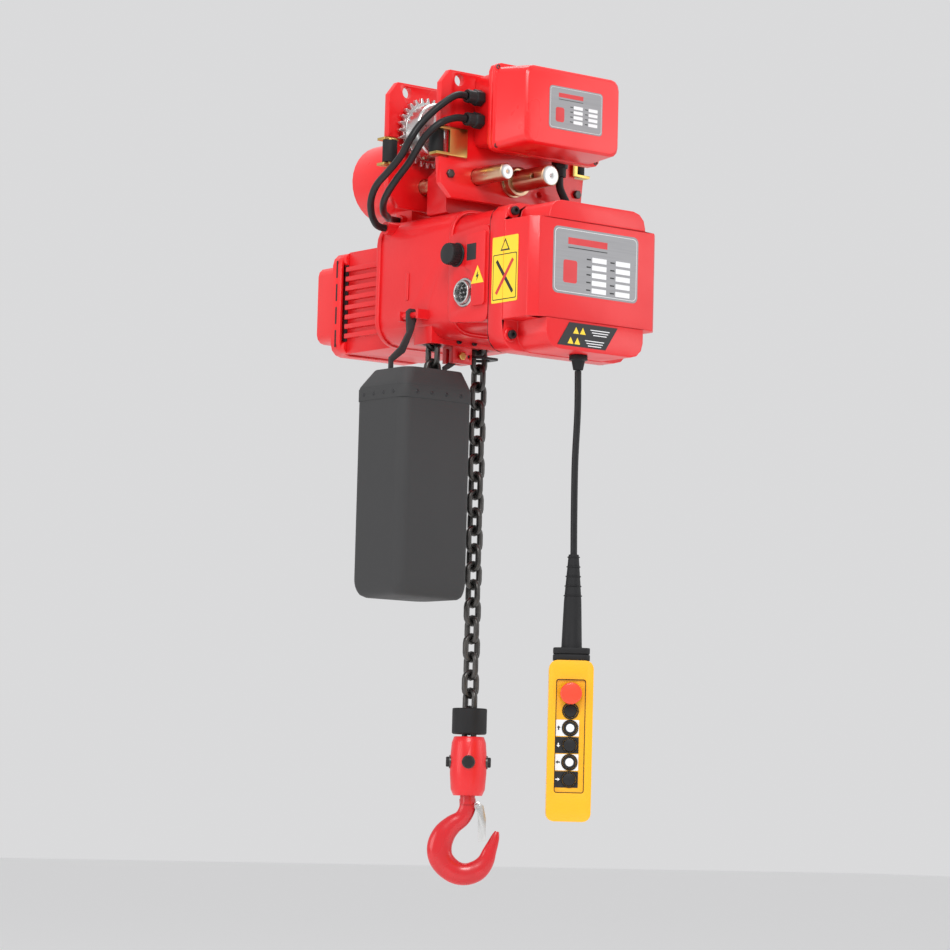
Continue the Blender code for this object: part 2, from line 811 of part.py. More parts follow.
fan_square = rectangle(-FAN_HALF, MOTOR_Z - FAN_HALF, FAN_HALF, MOTOR_Z + FAN_HALF, 0.022, 3)
fan_small = rectangle(-0.070, -0.280, 0.070, -0.146, 0.016, 3)
fan_cover = thicken(
    loft(
        "fan_cover",
        [
            ring(fan_small, FAN_BACK),
            ring(fan_small, FAN_SLOPE),
            ring(fan_square, FAN_STEP),
            ring(fan_square, FAN_FRONT),
        ],
        RED,
        open_end=True,
    ),
    FAN_WALL,
)
for side_x in (-1, 1):
    for side_z in (-1, 1):
        foot = (side_x * (FAN_HALF - 0.014), MOTOR_Z + side_z * (FAN_HALF - 0.014))
        join(fan_cover, rod("foot", "Y", foot, 0.0115, MOTOR_BACK + GAP, FAN_FRONT + 0.010, count=12))

# ---- control end ----

control_loop = rectangle(-CONTROL_HALF, CONTROL_BOTTOM, CONTROL_HALF, CONTROL_TOP, 0.040, 4)
control = thicken(
    loft(
        "control_housing",
        [ring(control_loop, BODY_FRONT - GAP), ring(control_loop, COVER_BACK + GAP)],
        RED,
        open_end=True,
    ),
    CONTROL_WALL,
)
SOCKET_FACE = -0.133
SUPPLY_PORT = (0.104, -0.112)
CAP_PLACE = (-0.105, -0.183)
PLUG_PLACE = (-0.127, -0.247)
COLUMN_RISE = 0.005
socket_loop = rounded([(-0.188, -0.300), (-0.085, -0.292), (-0.085, -0.148), (-0.188, -0.139)], 0.012, 2)
column_loop = rounded(
    [(-0.1845, -0.272), (-0.150, -0.272), (-0.150, -0.214), (-0.134, -0.207), (-0.134, -0.153), (-0.1845, -0.150)],
    0.004,
    1,
)
join(
    control,
    prism("socket_block", [socket_loop], "X", SOCKET_FACE, -CONTROL_HALF + 0.005),
    prism("label_column", [column_loop], "X", SOCKET_FACE - COLUMN_RISE, SOCKET_FACE + 0.004),
    rod("supply_port", "Z", SUPPLY_PORT, 0.013, CONTROL_TOP - 0.018, CONTROL_TOP + 0.008, count=16),
    rod("sheave_boss_front", "Y", SHEAVE, 0.018, BODY_FRONT - 0.004, -0.062),
)
cut(
    control,
    rod("sheave_bearing_front", "Y", SHEAVE, SHEAVE_SHAFT_R + SLIP, -0.0765, -0.050),
    rod("plug_seat", "X", PLUG_PLACE, 0.0200, SOCKET_FACE - 0.010, SOCKET_FACE + 0.010),
)

rod("plug_cap", "X", CAP_PLACE, 0.0175, SOCKET_FACE - 0.022, SOCKET_FACE - GAP, PLASTIC, 20)
turned(
    "power_socket",
    [
        (0, 0.0095),
        (0.0195, 0.0095),
        (0.0195, -0.0080),
        (0.0165, -0.0080),
        (0.0165, 0.0035),
        (0, 0.0035),
    ],
    "X",
    (SOCKET_FACE, *PLUG_PLACE),
    STEEL,
    steps=20,
)

cover = prism(
    "control_cover",
    [rectangle(-COVER_HALF, COVER_BOTTOM, COVER_HALF, COVER_TOP, 0.030, 3)],
    "Y",
    COVER_STEP,
    COVER_BACK,
)
WING_HALF = COVER_HALF - GAP
wing = [
    (-WING_HALF, COVER_STEP + 0.004),
    (-WING_HALF, COVER_FRONT + WING_CHAMFER),
    (-WING_HALF + WING_CHAMFER, COVER_FRONT),
    (WING_HALF - WING_CHAMFER, COVER_FRONT),
    (WING_HALF, COVER_FRONT + WING_CHAMFER),
    (WING_HALF, COVER_STEP + 0.004),
]
neck_loop = rectangle(-COVER_NECK, COVER_BOTTOM + GAP, COVER_NECK, COVER_TOP - GAP, 0.026, 3)
join(
    cover,
    prism("wings", [wing], "Z", WING_BOTTOM, WING_TOP),
    prism("neck", [neck_loop], "Y", COVER_FRONT + 0.0004, COVER_STEP + 0.004),
)
wide_room = rectangle(
    -COVER_HALF + COVER_WALL, COVER_BOTTOM + COVER_WALL, COVER_HALF - COVER_WALL, COVER_TOP - COVER_WALL, 0.024, 3
)
neck_room = rectangle(
    -COVER_NECK + COVER_WALL, COVER_BOTTOM + COVER_WALL, COVER_NECK - COVER_WALL, COVER_TOP - COVER_WALL, 0.020, 3
)
cut(
    cover,
    prism("cover_room", [wide_room], "Y", COVER_STEP + COVER_WALL, COVER_BACK + 0.010),
    prism("cover_front_room", [neck_room], "Y", COVER_FRONT + COVER_WALL, COVER_STEP + 0.010),
)

# ---- cables between the boxes ----

CABLE_X = -PLATE_HALF  # the cables bow round the end of the side plates
cord(
    "link_cable",
    [
        (-0.1175, GLAND_Y, 0.084),
        (-0.138, -0.096, 0.0815),
        (CABLE_X - 0.012, -0.086, 0.060),
        (CABLE_X - 0.034, -0.070, 0.032),
        (CABLE_X - 0.050, -0.062, 0.004),
        (CABLE_X - 0.055, -0.045, -0.022),
        (CABLE_X - 0.053, -0.010, -0.042),
        (CABLE_X - 0.047, 0.030, -0.059),
        (CABLE_X - 0.037, 0.058, -0.078),
        (CABLE_X - 0.022, 0.077, -0.097),
        (-0.159, 0.087, -0.111),
        (-0.146, 0.0915, -0.1155),
        (-0.1345, 0.092, -0.116),
    ],
    0.006,
)
cord(
    "travel_cable",
    [
        (-0.1175, GLAND_Y, 0.046),
        (-0.138, -0.097, 0.044),
        (CABLE_X - 0.011, -0.092, 0.033),
        (CABLE_X - 0.029, -0.078, 0.012),
        (CABLE_X - 0.035, -0.062, -0.010),
        (CABLE_X - 0.036, -0.042, -0.030),
        (CABLE_X - 0.035, -0.008, -0.053),
        (CABLE_X - 0.027, 0.026, -0.070),
        (CABLE_X - 0.013, 0.056, -0.082),
        (-0.140, 0.090, -0.090),
        (-0.104, 0.126, -0.090),
        (-0.075, 0.162, -0.085),
        (-0.053, 0.1785, -0.082),
        (-0.0412, TERMINAL_Y, TERMINAL_Z),
    ],
    0.006,
)
cord(
    "supply_cable",
    [
        (0.080, -0.103, -0.0265),
        (0.081, -0.104, -0.045),
        (0.092, -0.108, -0.068),
        (0.103, -0.112, -0.085),
        (*SUPPLY_PORT, CONTROL_TOP + 0.0085),
    ],
    0.0065,
)

# ---- drive train inside the hoist ----

SHEAVE_CORE = 0.030
SHEAVE_FLANGE = 0.056
FIRST_STAGE = (0.052, 0.062)
SECOND_STAGE = (0.034, 0.046)
sheave = turned(
    "load_sheave",
    [
        (0, BEARING_END),
        (SHEAVE_SHAFT_R, BEARING_END),
        (SHEAVE_SHAFT_R, 0.028),
        (SHEAVE_FLANGE, 0.028),
        (SHEAVE_FLANGE, 0.0185),
        (SHEAVE_CORE, 0.0185),
        (SHEAVE_CORE, -0.0185),
        (SHEAVE_FLANGE, -0.0185),
        (SHEAVE_FLANGE, -0.028),
        (SHEAVE_SHAFT_R, -0.028),
        (SHEAVE_SHAFT_R, -0.075),
        (0, -0.075),
    ],
    "Y",
    (SHEAVE_X, 0, AXIS_Z),
    STEEL,
)
join(sheave, gear("sheave_gear", *SHEAVE_TEETH, "Y", *SECOND_STAGE, SHEAVE))
idler_first = mating_tooth(IDLER, IDLER_SMALL[0], SHEAVE, SHEAVE_TEETH[0], 0.0)
idler = gear("idler_gear", *IDLER_LARGE, "Y", *FIRST_STAGE, IDLER)
join(
    idler,
    gear("idler_small", *IDLER_SMALL, "Y", *SECOND_STAGE, IDLER, first=idler_first),
    rod("idler_shaft", "Y", IDLER, IDLER_SHAFT_R, SECOND_STAGE[1] - 0.005, BEARING_END, count=16),
)
rotor = turned(
    "motor_rotor",
    [
        (0, FAN_STEP),
        (ROTOR_SHAFT_R, FAN_STEP),
        (ROTOR_SHAFT_R, 0.245),
        (0.045, 0.245),
        (0.045, 0.145),
        (ROTOR_SHAFT_R, 0.145),
        (ROTOR_SHAFT_R, FIRST_STAGE[0] - 0.001),
        (0, FIRST_STAGE[0] - 0.001),
    ],
    "Y",
    (ROTOR[0], 0, ROTOR[1]),
    STEEL,
)
rotor_first = mating_tooth(ROTOR, ROTOR_TEETH[0], IDLER, IDLER_LARGE[0], 0.0)
join(
    rotor,
    gear("rotor_pinion", *ROTOR_TEETH, "Y", FIRST_STAGE[0], FIRST_STAGE[1], ROTOR, first=rotor_first),
    rod("fan_disc", "Y", ROTOR, 0.058, FAN_FRONT + 0.006, FAN_FRONT + 0.009),
)
for blade in range(6):
    vane = box("fan_blade", (0.012, FAN_FRONT + 0.008, -0.0015), (0.056, FAN_STEP - 0.003, 0.0015))
    vane.rotation_euler = (0, math.radians(60 * blade), 0)
    vane.location = (ROTOR[0], 0, ROTOR[1])
    join(rotor, vane)

# ---- chain path ----

SLOT_WIDE = LINK_HALF_WIDTH + 0.0017
SLOT_NARROW = WIRE_R + 0.0025
LUG_X = (-0.066, -0.026)
LUG_Y = 0.014
LUG_BOTTOM = -0.345
EAR_BOLT = (-0.050, -0.333)
LEVER_PIVOT = (-0.032, -0.332)
LEVER_PIN_R = 0.0025

guide_block = box(
    "chain_guide", (GUIDE_X[0], -GUIDE_Y, GUIDE_BOTTOM), (GUIDE_X[1], GUIDE_Y, GUIDE_TOP)
)
join(guide_block, box("lug", (LUG_X[0], -LUG_Y, LUG_BOTTOM), (LUG_X[1], LUG_Y, GUIDE_BOTTOM + 0.005)))
for across in (0.0, SLACK_X):
    for half_x, half_y, spare in ((SLOT_WIDE, SLOT_NARROW, 0.010), (SLOT_NARROW, SLOT_WIDE, 0.011)):
        low = (across - half_x, -half_y, GUIDE_BOTTOM - spare)
        high = (across + half_x, half_y, GUIDE_TOP + spare)
        cut(guide_block, box("link_slot", low, high))
cut(
    guide_block,
    box("ear_slot", (-0.075, -0.004, LUG_BOTTOM - 0.005), (-0.040, 0.004, -0.321)),
    box("lever_slot", (-0.041, -0.0056, -0.3385), (LUG_X[1] + 0.001, 0.0056, -0.3255)),
    rod("lever_bore", "Y", LEVER_PIVOT, LEVER_PIN_R + SLIP, -LUG_Y - 0.001, LUG_Y + 0.001, count=12),
)
join(guide_block, rod("ear_bolt", "Y", EAR_BOLT, 0.004, -LUG_Y - 0.003, LUG_Y + 0.003, count=12))

lever = prism(
    "limit_lever",
    [rectangle(-0.0245, -0.024, 0.026, 0.024, 0.008, 2), circle(0, 0, 0.0195, 20)],
    "Z",
    -0.334,
    -0.330,
    PLASTIC,
    (LEVER_PIVOT[0], 0, LEVER_PIVOT[1]),
)
join(
    lever,
    box("tongue", (-0.036, -0.005, -0.3355), (-0.022, 0.005, -0.3285)),
    rod("lever_pin", "Y", LEVER_PIVOT, LEVER_PIN_R, -LUG_Y + 0.001, LUG_Y - 0.001, count=12),
)


def chain(name, across, top, count, first_flat):
    """Crossed links, each in the next: alternate links are two meshes, which one union makes a body."""
    bend = LINK_HALF_WIDTH - WIRE_R
    straight = CROWN - bend
    path = []
    for end in (1, -1):
        for step in range(5):
            turn = math.radians(45 * step) + (0 if end > 0 else math.pi)
            path.append((bend * math.cos(turn), 0, end * straight + bend * math.sin(turn)))
    link = mesh_of(tube("link", path, WIRE_R, CHAIN, closed=True, resolution=1))
    halves = []
    for parity in (0, 1):
        work = bmesh.new()
        for index in range(parity, count, 2):
            one = link.copy()
            spin = 0 if (index % 2 == 0) == first_flat else math.pi / 2
            one.transform(Matrix.Translation((0, 0, -PITCH * index)) @ Matrix.Rotation(spin, 4, "Z"))
            work.from_mesh(one)
            bpy.data.meshes.remove(one)
        mesh = bpy.data.meshes.new(name)
        work.to_mesh(mesh)
        work.free()
        halves.append(mesh)
    bpy.data.meshes.remove(link)
    body = add(name, halves[0], CHAIN)
    body.location = (across, 0, top)
    other = add(name + "_other_links", halves[1], CHAIN)
    other.location = (across, 0, top)
    return join(body, other)


chain("load_chain", 0.0, LOAD_TOP, LOAD_LINKS, True)
chain("slack_chain", SLACK_X, SLACK_TOP, SLACK_LINKS, False)

# ---- container ----

container_rings = []
for shrink, level in ((0.8, BOX_BOTTOM), (0.25, BOX_BOTTOM + 0.010), (0.0, BOX_BOTTOM + 0.030),
                      (0.0, BOX_TOP - 0.030), (1.0, BOX_TOP)):
    low_x = BOX_X[0] + 0.020 * shrink
    high_x = BOX_X[1] - 0.008 * shrink
    half_y = BOX_Y - 0.014 * shrink
    loop = rectangle(low_x, -half_y, high_x, half_y, 0.018, 3)
    container_rings.append([(across, along, level) for across, along in loop])
thicken(loft("chain_container", container_rings, CONTAINER, open_end=True), CONTAINER_WALL)

left_strap = [
    (-0.148, -0.266), (-0.142, -0.261), (-0.132, -0.261), (-0.128, -0.267), (-0.128, -0.279), (-0.134, -0.300),
    (-0.150, -0.335), (-0.173, -0.352), (-0.173, -0.384), (-0.181, -0.384), (-0.181, -0.346), (-0.160, -0.326),
    (-0.146, -0.300), (-0.148, -0.278),
]
prism("hanger_left", [left_strap, circle(*PEG, PEG_R + SLIP, 12)], "Y", 0.006, 0.010, CONTAINER)
right_strap = [
    (-0.058, -0.325), (-0.044, -0.325), (-0.044, -0.341), (-0.060, -0.352), (-0.0706, -0.358), (-0.0706, -0.382),
    (-0.075, -0.382), (-0.075, -0.352), (-0.062, -0.343), (-0.058, -0.338),
]
prism("hanger_right", [right_strap, circle(*EAR_BOLT, 0.004 + SLIP, 12)], "Y", -0.003, 0.003, CONTAINER)

# ---- hook ----

WELL_R = 0.0205
WELL_FLOOR = BLOCK_BOTTOM + 0.022
SHANK_R = 0.0125
BLOCK_TOP = BUMPER_BOTTOM - 0.004
LAST_LINK = LOAD_TOP - PITCH * (LOAD_LINKS - 1)
ANCHOR_R = 0.0045
ANCHOR_Z = LAST_LINK - CROWN + WIRE_R + ANCHOR_R + SLIP


def turned_to_view(obj, centre=(0, 0, 0)):
    """Turns a piece made facing -Y about the upright line through centre."""
    middle = Matrix.Translation(centre)
    obj.data.transform(middle @ Matrix.Rotation(VIEW_TURN, 4, "Z") @ middle.inverted())
    return obj


turned(
    "chain_bumper",
    [
        (0.0195, BUMPER_TOP),
        (BUMPER_R - 0.002, BUMPER_TOP),
        (BUMPER_R, BUMPER_TOP - 0.002),
        (BUMPER_R, BUMPER_BOTTOM + 0.002),
        (BUMPER_R - 0.002, BUMPER_BOTTOM),
        (0.0195, BUMPER_BOTTOM),
    ],
    "Z",
    (0, 0, 0),
    RUBBER,
    closed=True,
)
block = turned(
    "hook_block",
    [
        (WELL_R, BLOCK_TOP),
        (0.025, BLOCK_TOP),
        (0.0285, BLOCK_TOP - 0.010),
        (BLOCK_R, BLOCK_TOP - 0.035),
        (BLOCK_R, BLOCK_TOP - 0.060),
        (0.0285, BLOCK_BOTTOM + 0.010),
        (0.024, BLOCK_BOTTOM),
        (SHANK_R + SLIP, BLOCK_BOTTOM),
        (SHANK_R + SLIP, WELL_FLOOR),
        (WELL_R, WELL_FLOOR),
    ],
    "Z",
    (0, 0, 0),
    RED,
    closed=True,
)
for quarter in range(4):
    stud = rod("block_stud", "X", (0, ANCHOR_Z), 0.0075, WELL_R + 0.002, BLOCK_R + 0.0065, count=12)
    stud.data.transform(Matrix.Rotation(VIEW_TURN + quarter * math.pi / 2, 4, "Z"))
    join(block, stud)
anchor_axis = "Y" if LOAD_LINKS % 2 else "X"
join(block, rod("anchor_pin", anchor_axis, (0, ANCHOR_Z), ANCHOR_R, -WELL_R - 0.003, WELL_R + 0.003, count=12))

HOOK_SPINE = [
    (0.000, 0.078, 0.0135), (0.000, 0.062, 0.0135), (-0.008, 0.046, 0.0145), (-0.024, 0.034, 0.0165),
    (-0.037, 0.019, 0.0190), (-0.0440, 0.000, 0.0205), (-0.042, -0.019, 0.0205), (-0.031, -0.034, 0.0202),
    (-0.015, -0.0440, 0.0198), (0.003, -0.0455, 0.0192), (0.020, -0.0385, 0.0172), (0.032, -0.025, 0.0142),
    (0.0385, -0.008, 0.0115), (0.0440, 0.006, 0.0090), (0.0480, 0.018, 0.0065), (0.0500, 0.0260, 0.0040),
]
hook_mesh = mesh_of(
    tube(
        "hook",
        [(across, 0, HOOK_CENTRE + up) for across, up, _ in HOOK_SPINE],
        0.010,
        RED,
        resolution=3,
        radii=[radius for _, _, radius in HOOK_SPINE],
    )
)
hook_mesh.transform(Matrix.Diagonal((1, HOOK_FLAT, 1, 1)))
hook = turned_to_view(add("hook", hook_mesh, RED))
LATCH = (0.0165, HOOK_CENTRE + 0.0665)
join(
    hook,
    turned(
        "hook_shank",
        [
            (0, WELL_FLOOR + 0.016),
            (WELL_R - 0.0025, WELL_FLOOR + 0.016),
            (WELL_R - 0.0025, WELL_FLOOR + 0.001),
            (SHANK_R, WELL_FLOOR + 0.001),
            (SHANK_R, BLOCK_BOTTOM - 0.014),
            (0, BLOCK_BOTTOM - 0.014),
        ],
        "Z",
        (0, 0, 0),
        STEEL,
    ),
    turned_to_view(box("latch_lug", (0.006, -0.006, LATCH[1] - 0.004), (LATCH[0], 0.006, LATCH[1] + 0.004))),
    turned_to_view(rod("latch_eye", "Y", LATCH, 0.0052, -0.0061, 0.0061, count=12)),
)
cut(hook, turned_to_view(rod("latch_bore", "Y", LATCH, 0.0024 + SLIP, -0.012, 0.012, count=12)))

latch_loop = [
    (0.0116, 0.0660), (0.0122, 0.0712), (0.0175, 0.0735), (0.0270, 0.0670), (0.0315, 0.0450), (0.0315, 0.0090),
    (0.0195, 0.0090), (0.0180, 0.0450), (0.0170, 0.0560), (0.0132, 0.0605),
]
latch = prism(
    "hook_latch",
    [[(across, HOOK_CENTRE + up) for across, up in latch_loop]],
    "Y",
    -0.0095,
    0.0095,
    STEEL,
)
latch_room = box("latch_room", (0.0, -0.0068, HOOK_CENTRE + 0.050), (0.0240, 0.0068, HOOK_CENTRE + 0.080))
latch_pin = rod("latch_pin", "Y", LATCH, 0.0024, -0.0090, 0.0090, count=12)
LATCH_ORIGIN = Matrix.Rotation(VIEW_TURN, 4, "Z") @ Vector((LATCH[0], 0, LATCH[1]))
turned_to_view(latch)
latch.data.transform(Matrix.Translation(-LATCH_ORIGIN))
latch.location = LATCH_ORIGIN
cut(latch, turned_to_view(latch_room))
join(latch, turned_to_view(latch_pin))

# ---- handset ----

HANDSET = (HANDSET_X, HANDSET_Y, 0)
BORE_R = CORD_R + 0.0008
FACE_Y = HANDSET_Y - HANDSET_DEPTH / 2
PANEL_Y = FACE_Y + PANEL_DEPTH
STOP_STEM_R = 0.008
STOP_HEAD_R = 0.0175
STROKE = 0.003

turned(
    "handset_gland",
    [
        (BORE_R, COVER_BOTTOM - GAP),
        (0.015, COVER_BOTTOM - GAP),
        (0.015, COVER_BOTTOM - 0.008),
        (0.011, COVER_BOTTOM - 0.009),
        (0.008, COVER_BOTTOM - 0.024),
        (BORE_R, COVER_BOTTOM - 0.024),
    ],
    "Z",
    HANDSET,
    RUBBER,
    closed=True,
    steps=16,
)
cord(
    "handset_cord",
    [
        (HANDSET_X, HANDSET_Y, CORD_TOP),
        (HANDSET_X + 0.0010, HANDSET_Y, -0.440),
        (HANDSET_X - 0.0010, HANDSET_Y + 0.0010, -0.520),
        (HANDSET_X - 0.0010, HANDSET_Y + 0.0005, -0.600),
        (HANDSET_X, HANDSET_Y, BOOT_TOP + GAP),
    ],
    CORD_R,
)

boot_profile = [(0, BOOT_TOP - 0.015), (BORE_R, BOOT_TOP - 0.015), (BORE_R, BOOT_TOP)]
for rib in range(6):
    rib_r = 0.0090 + 0.0012 * rib
    rib_z = BOOT_TOP - 0.018 * rib
    boot_profile += [
        (rib_r + 0.0010, rib_z),
        (rib_r + 0.0010, rib_z - 0.010),
        (rib_r - 0.0010, rib_z - 0.0115),
        (rib_r - 0.0005, rib_z - 0.0165),
    ]
boot_profile += [
    (0.0165, HANDSET_TOP + 0.018),
    (0.0165, HANDSET_TOP + GAP),
    (0, HANDSET_TOP + GAP),
]
boot = turned("handset_boot", boot_profile, "Z", HANDSET, RUBBER, steps=16)
collar_loop = rectangle(
    HANDSET_X - 0.0295, HANDSET_Y - 0.022, HANDSET_X + 0.0295, HANDSET_Y + 0.022, 0.014, 3
)
collar = prism("boot_collar", [collar_loop], "Z", HANDSET_TOP + GAP, HANDSET_TOP + 0.020)
join(boot, turned_to_view(collar, HANDSET))

handset_loop = rectangle(
    HANDSET_X - HANDSET_WIDTH / 2, HANDSET_BOTTOM, HANDSET_X + HANDSET_WIDTH / 2, HANDSET_TOP, 0.013, 4
)
handset = prism("handset_body", [handset_loop], "Y", FACE_Y, FACE_Y + HANDSET_DEPTH, YELLOW)
turned_to_view(handset, HANDSET)
panel_loop = rectangle(HANDSET_X - 0.024, -1.052, HANDSET_X + 0.024, -0.871, 0.004, 2)
panel = prism("panel_recess", [panel_loop], "Y", FACE_Y - 0.010, PANEL_Y)
cut(handset, turned_to_view(panel, HANDSET))


def button(name, level, radius, proud, material, head_r=None):
    """A push button in its hole in the handset's panel, which it slides along."""
    place = (HANDSET_X, level)
    back = PANEL_Y + 0.010
    hole = rod(name + "_hole", "Y", place, radius + SLIP, PANEL_Y - 0.005, back + STROKE + 0.0015)
    cut(handset, turned_to_view(hole, HANDSET))
    if head_r:
        piece = rod(name, "Y", place, radius, PANEL_Y - proud + 0.004, back, material)
        head = rod(name + "_head", "Y", place, head_r, PANEL_Y - proud - 0.008, PANEL_Y - proud + 0.005)
        turned_to_view(piece, HANDSET)
        join(piece, turned_to_view(head, HANDSET))
        return piece
    piece = rod(name, "Y", place, radius, PANEL_Y - proud, back, material)
    return turned_to_view(piece, HANDSET)


button("stop_button", STOP_Z, STOP_STEM_R, 0.011, STOP_RED, STOP_HEAD_R)
for step, (label, material) in enumerate(
    (("start", PLASTIC), ("up", WHITE), ("down", PLASTIC), ("left", WHITE), ("right", PLASTIC))
):
    button(label + "_button", -0.9215 - BUTTON_STEP * step, BUTTON_R, 0.0025 if step == 0 else 0.005, material)
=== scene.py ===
# Looks of the electric chain hoist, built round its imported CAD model
import json
import math

import bmesh
import bpy
from mathutils import Matrix, Vector

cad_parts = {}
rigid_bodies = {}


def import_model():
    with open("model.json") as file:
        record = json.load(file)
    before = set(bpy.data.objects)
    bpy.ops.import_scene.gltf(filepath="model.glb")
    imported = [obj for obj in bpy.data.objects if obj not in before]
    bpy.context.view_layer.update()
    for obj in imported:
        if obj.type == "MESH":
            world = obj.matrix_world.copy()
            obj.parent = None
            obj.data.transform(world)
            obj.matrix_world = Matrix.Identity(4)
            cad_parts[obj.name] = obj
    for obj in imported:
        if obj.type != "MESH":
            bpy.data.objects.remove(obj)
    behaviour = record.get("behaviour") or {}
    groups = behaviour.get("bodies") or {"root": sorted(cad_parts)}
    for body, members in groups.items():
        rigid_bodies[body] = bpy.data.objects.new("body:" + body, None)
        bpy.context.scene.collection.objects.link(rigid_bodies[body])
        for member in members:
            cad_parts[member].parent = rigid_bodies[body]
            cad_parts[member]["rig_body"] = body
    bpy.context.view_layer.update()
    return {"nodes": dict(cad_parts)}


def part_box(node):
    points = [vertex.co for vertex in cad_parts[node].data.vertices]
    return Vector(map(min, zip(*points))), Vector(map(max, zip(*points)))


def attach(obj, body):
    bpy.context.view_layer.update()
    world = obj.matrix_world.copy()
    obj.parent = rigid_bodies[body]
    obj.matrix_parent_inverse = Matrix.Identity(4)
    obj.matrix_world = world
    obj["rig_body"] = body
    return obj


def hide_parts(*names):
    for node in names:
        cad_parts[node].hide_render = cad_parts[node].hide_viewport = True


for leftover in list(bpy.data.objects):
    bpy.data.objects.remove(leftover)
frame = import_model()
viewTurn = math.radians(-38)  # hook and handset face this way


# Materials


def newMaterial(name, colour, roughness, metallic=0.0, coat=0.0):
    material = bpy.data.materials.new(name)
    material.use_nodes = True
    shader = material.node_tree.nodes["Principled BSDF"]
    shader.inputs["Base Color"].default_value = (*colour, 1)
    shader.inputs["Roughness"].default_value = roughness
    shader.inputs["Metallic"].default_value = metallic
    shader.inputs["Coat Weight"].default_value = coat
    shader.inputs["Coat Roughness"].default_value = 0.08
    return material


# Noise on Object coordinates, so that it stays on its piece.
def addNoise(material, scale, detail, stretch):
    nodes, links = material.node_tree.nodes, material.node_tree.links
    place = nodes.new("ShaderNodeTexCoord")
    mapping = nodes.new("ShaderNodeMapping")
    mapping.inputs["Scale"].default_value = stretch
    noise = nodes.new("ShaderNodeTexNoise")
    noise.inputs["Scale"].default_value = scale
    noise.inputs["Detail"].default_value = detail
    links.new(place.outputs["Object"], mapping.inputs["Vector"])
    links.new(mapping.outputs["Vector"], noise.inputs["Vector"])
    return nodes, links, noise


# Noise that moves the roughness between low and high, and the colour a little towards another.
def addSpread(material, scale, low, high, colour, detail=4.0, stretch=(1, 1, 1)):
    nodes, links, noise = addNoise(material, scale, detail, stretch)
    shader = nodes["Principled BSDF"]
    noiseLow, noiseHigh = 0.3, 0.7  # nearly all of the noise lies between these
    span = nodes.new("ShaderNodeMapRange")
    span.inputs["From Min"].default_value = noiseLow
    span.inputs["From Max"].default_value = noiseHigh
    span.inputs["To Min"].default_value = low
    span.inputs["To Max"].default_value = high
    links.new(noise.outputs["Fac"], span.inputs["Value"])
    links.new(span.outputs["Result"], shader.inputs["Roughness"])
    mix = nodes.new("ShaderNodeMix")
    mix.data_type = "RGBA"
    mix.inputs["A"].default_value = shader.inputs["Base Color"].default_value
    mix.inputs["B"].default_value = (*colour, 1)
    links.new(noise.outputs["Fac"], mix.inputs["Factor"])
    links.new(mix.outputs["Result"], shader.inputs["Base Color"])


# Fine relief: orange peel on paint, grain on plastic, tooling marks on steel.
def addBump(material, scale, height, strength=0.5, detail=2.0, stretch=(1, 1, 1)):
    nodes, links, noise = addNoise(material, scale, detail, stretch)
    bump = nodes.new("ShaderNodeBump")
    bump.inputs["Strength"].default_value = strength
    bump.inputs["Distance"].default_value = height
    links.new(noise.outputs["Fac"], bump.inputs["Height"])
    links.new(bump.outputs["Normal"], nodes["Principled BSDF"].inputs["Normal"])


redPaint = newMaterial("redPaint", (0.80, 0.008, 0.010), 0.30, coat=0.15)
addSpread(redPaint, 9, 0.26, 0.38, (0.72, 0.006, 0.009))
addBump(redPaint, 420, 0.00012, 0.35)
redCast = newMaterial("redCast", (0.74, 0.007, 0.010), 0.34, coat=0.12)
addSpread(redCast, 14, 0.28, 0.44, (0.64, 0.005, 0.009))
addBump(redCast, 160, 0.0004, 0.45, 5.0)
redForged = newMaterial("redForged", (0.62, 0.004, 0.010), 0.26, coat=0.3)
addSpread(redForged, 30, 0.20, 0.36, (0.48, 0.003, 0.008))
addBump(redForged, 90, 0.0005, 0.4, 4.0)
zinc = newMaterial("yellowZinc", (0.46, 0.35, 0.20), 0.30, 1.0)
addSpread(zinc, 22, 0.20, 0.42, (0.62, 0.42, 0.30))
addBump(zinc, 300, 0.00008, 0.4, 2.0, (1, 12, 1))
brass = newMaterial("goldZinc", (0.72, 0.48, 0.12), 0.30, 1.0)
addSpread(brass, 30, 0.22, 0.45, (0.55, 0.42, 0.16))
addBump(brass, 220, 0.0001, 0.3)
steel = newMaterial("brightSteel", (0.66, 0.66, 0.65), 0.25, 1.0)
addSpread(steel, 40, 0.18, 0.36, (0.52, 0.52, 0.52))
addBump(steel, 350, 0.00006, 0.4, 2.0, (1, 1, 9))
chainSteel = newMaterial("blackenedSteel", (0.055, 0.053, 0.052), 0.34, 0.85)
addSpread(chainSteel, 60, 0.24, 0.48, (0.10, 0.095, 0.09))
addBump(chainSteel, 260, 0.0002, 0.35, 3.0)
rubber = newMaterial("blackRubber", (0.014, 0.014, 0.015), 0.55)
addSpread(rubber, 45, 0.45, 0.65, (0.022, 0.022, 0.023))
addBump(rubber, 380, 0.00015, 0.4)
flex = newMaterial("cableJacket", (0.012, 0.012, 0.013), 0.38)
addSpread(flex, 60, 0.30, 0.46, (0.02, 0.02, 0.021))
addBump(flex, 260, 0.0001, 0.25)
plastic = newMaterial("blackPlastic", (0.016, 0.016, 0.017), 0.38)
addSpread(plastic, 30, 0.32, 0.46, (0.024, 0.024, 0.025))
addBump(plastic, 600, 0.00008, 0.3)
greyPlastic = newMaterial("containerGrey", (0.036, 0.036, 0.037), 0.66)
addSpread(greyPlastic, 12, 0.60, 0.76, (0.045, 0.045, 0.046))
addBump(greyPlastic, 900, 0.0002, 0.5, 3.0)
yellow = newMaterial("yellowShell", (0.93, 0.47, 0.006), 0.33, coat=0.15)
addSpread(yellow, 18, 0.28, 0.40, (0.88, 0.42, 0.004))
addBump(yellow, 700, 0.00008, 0.35)
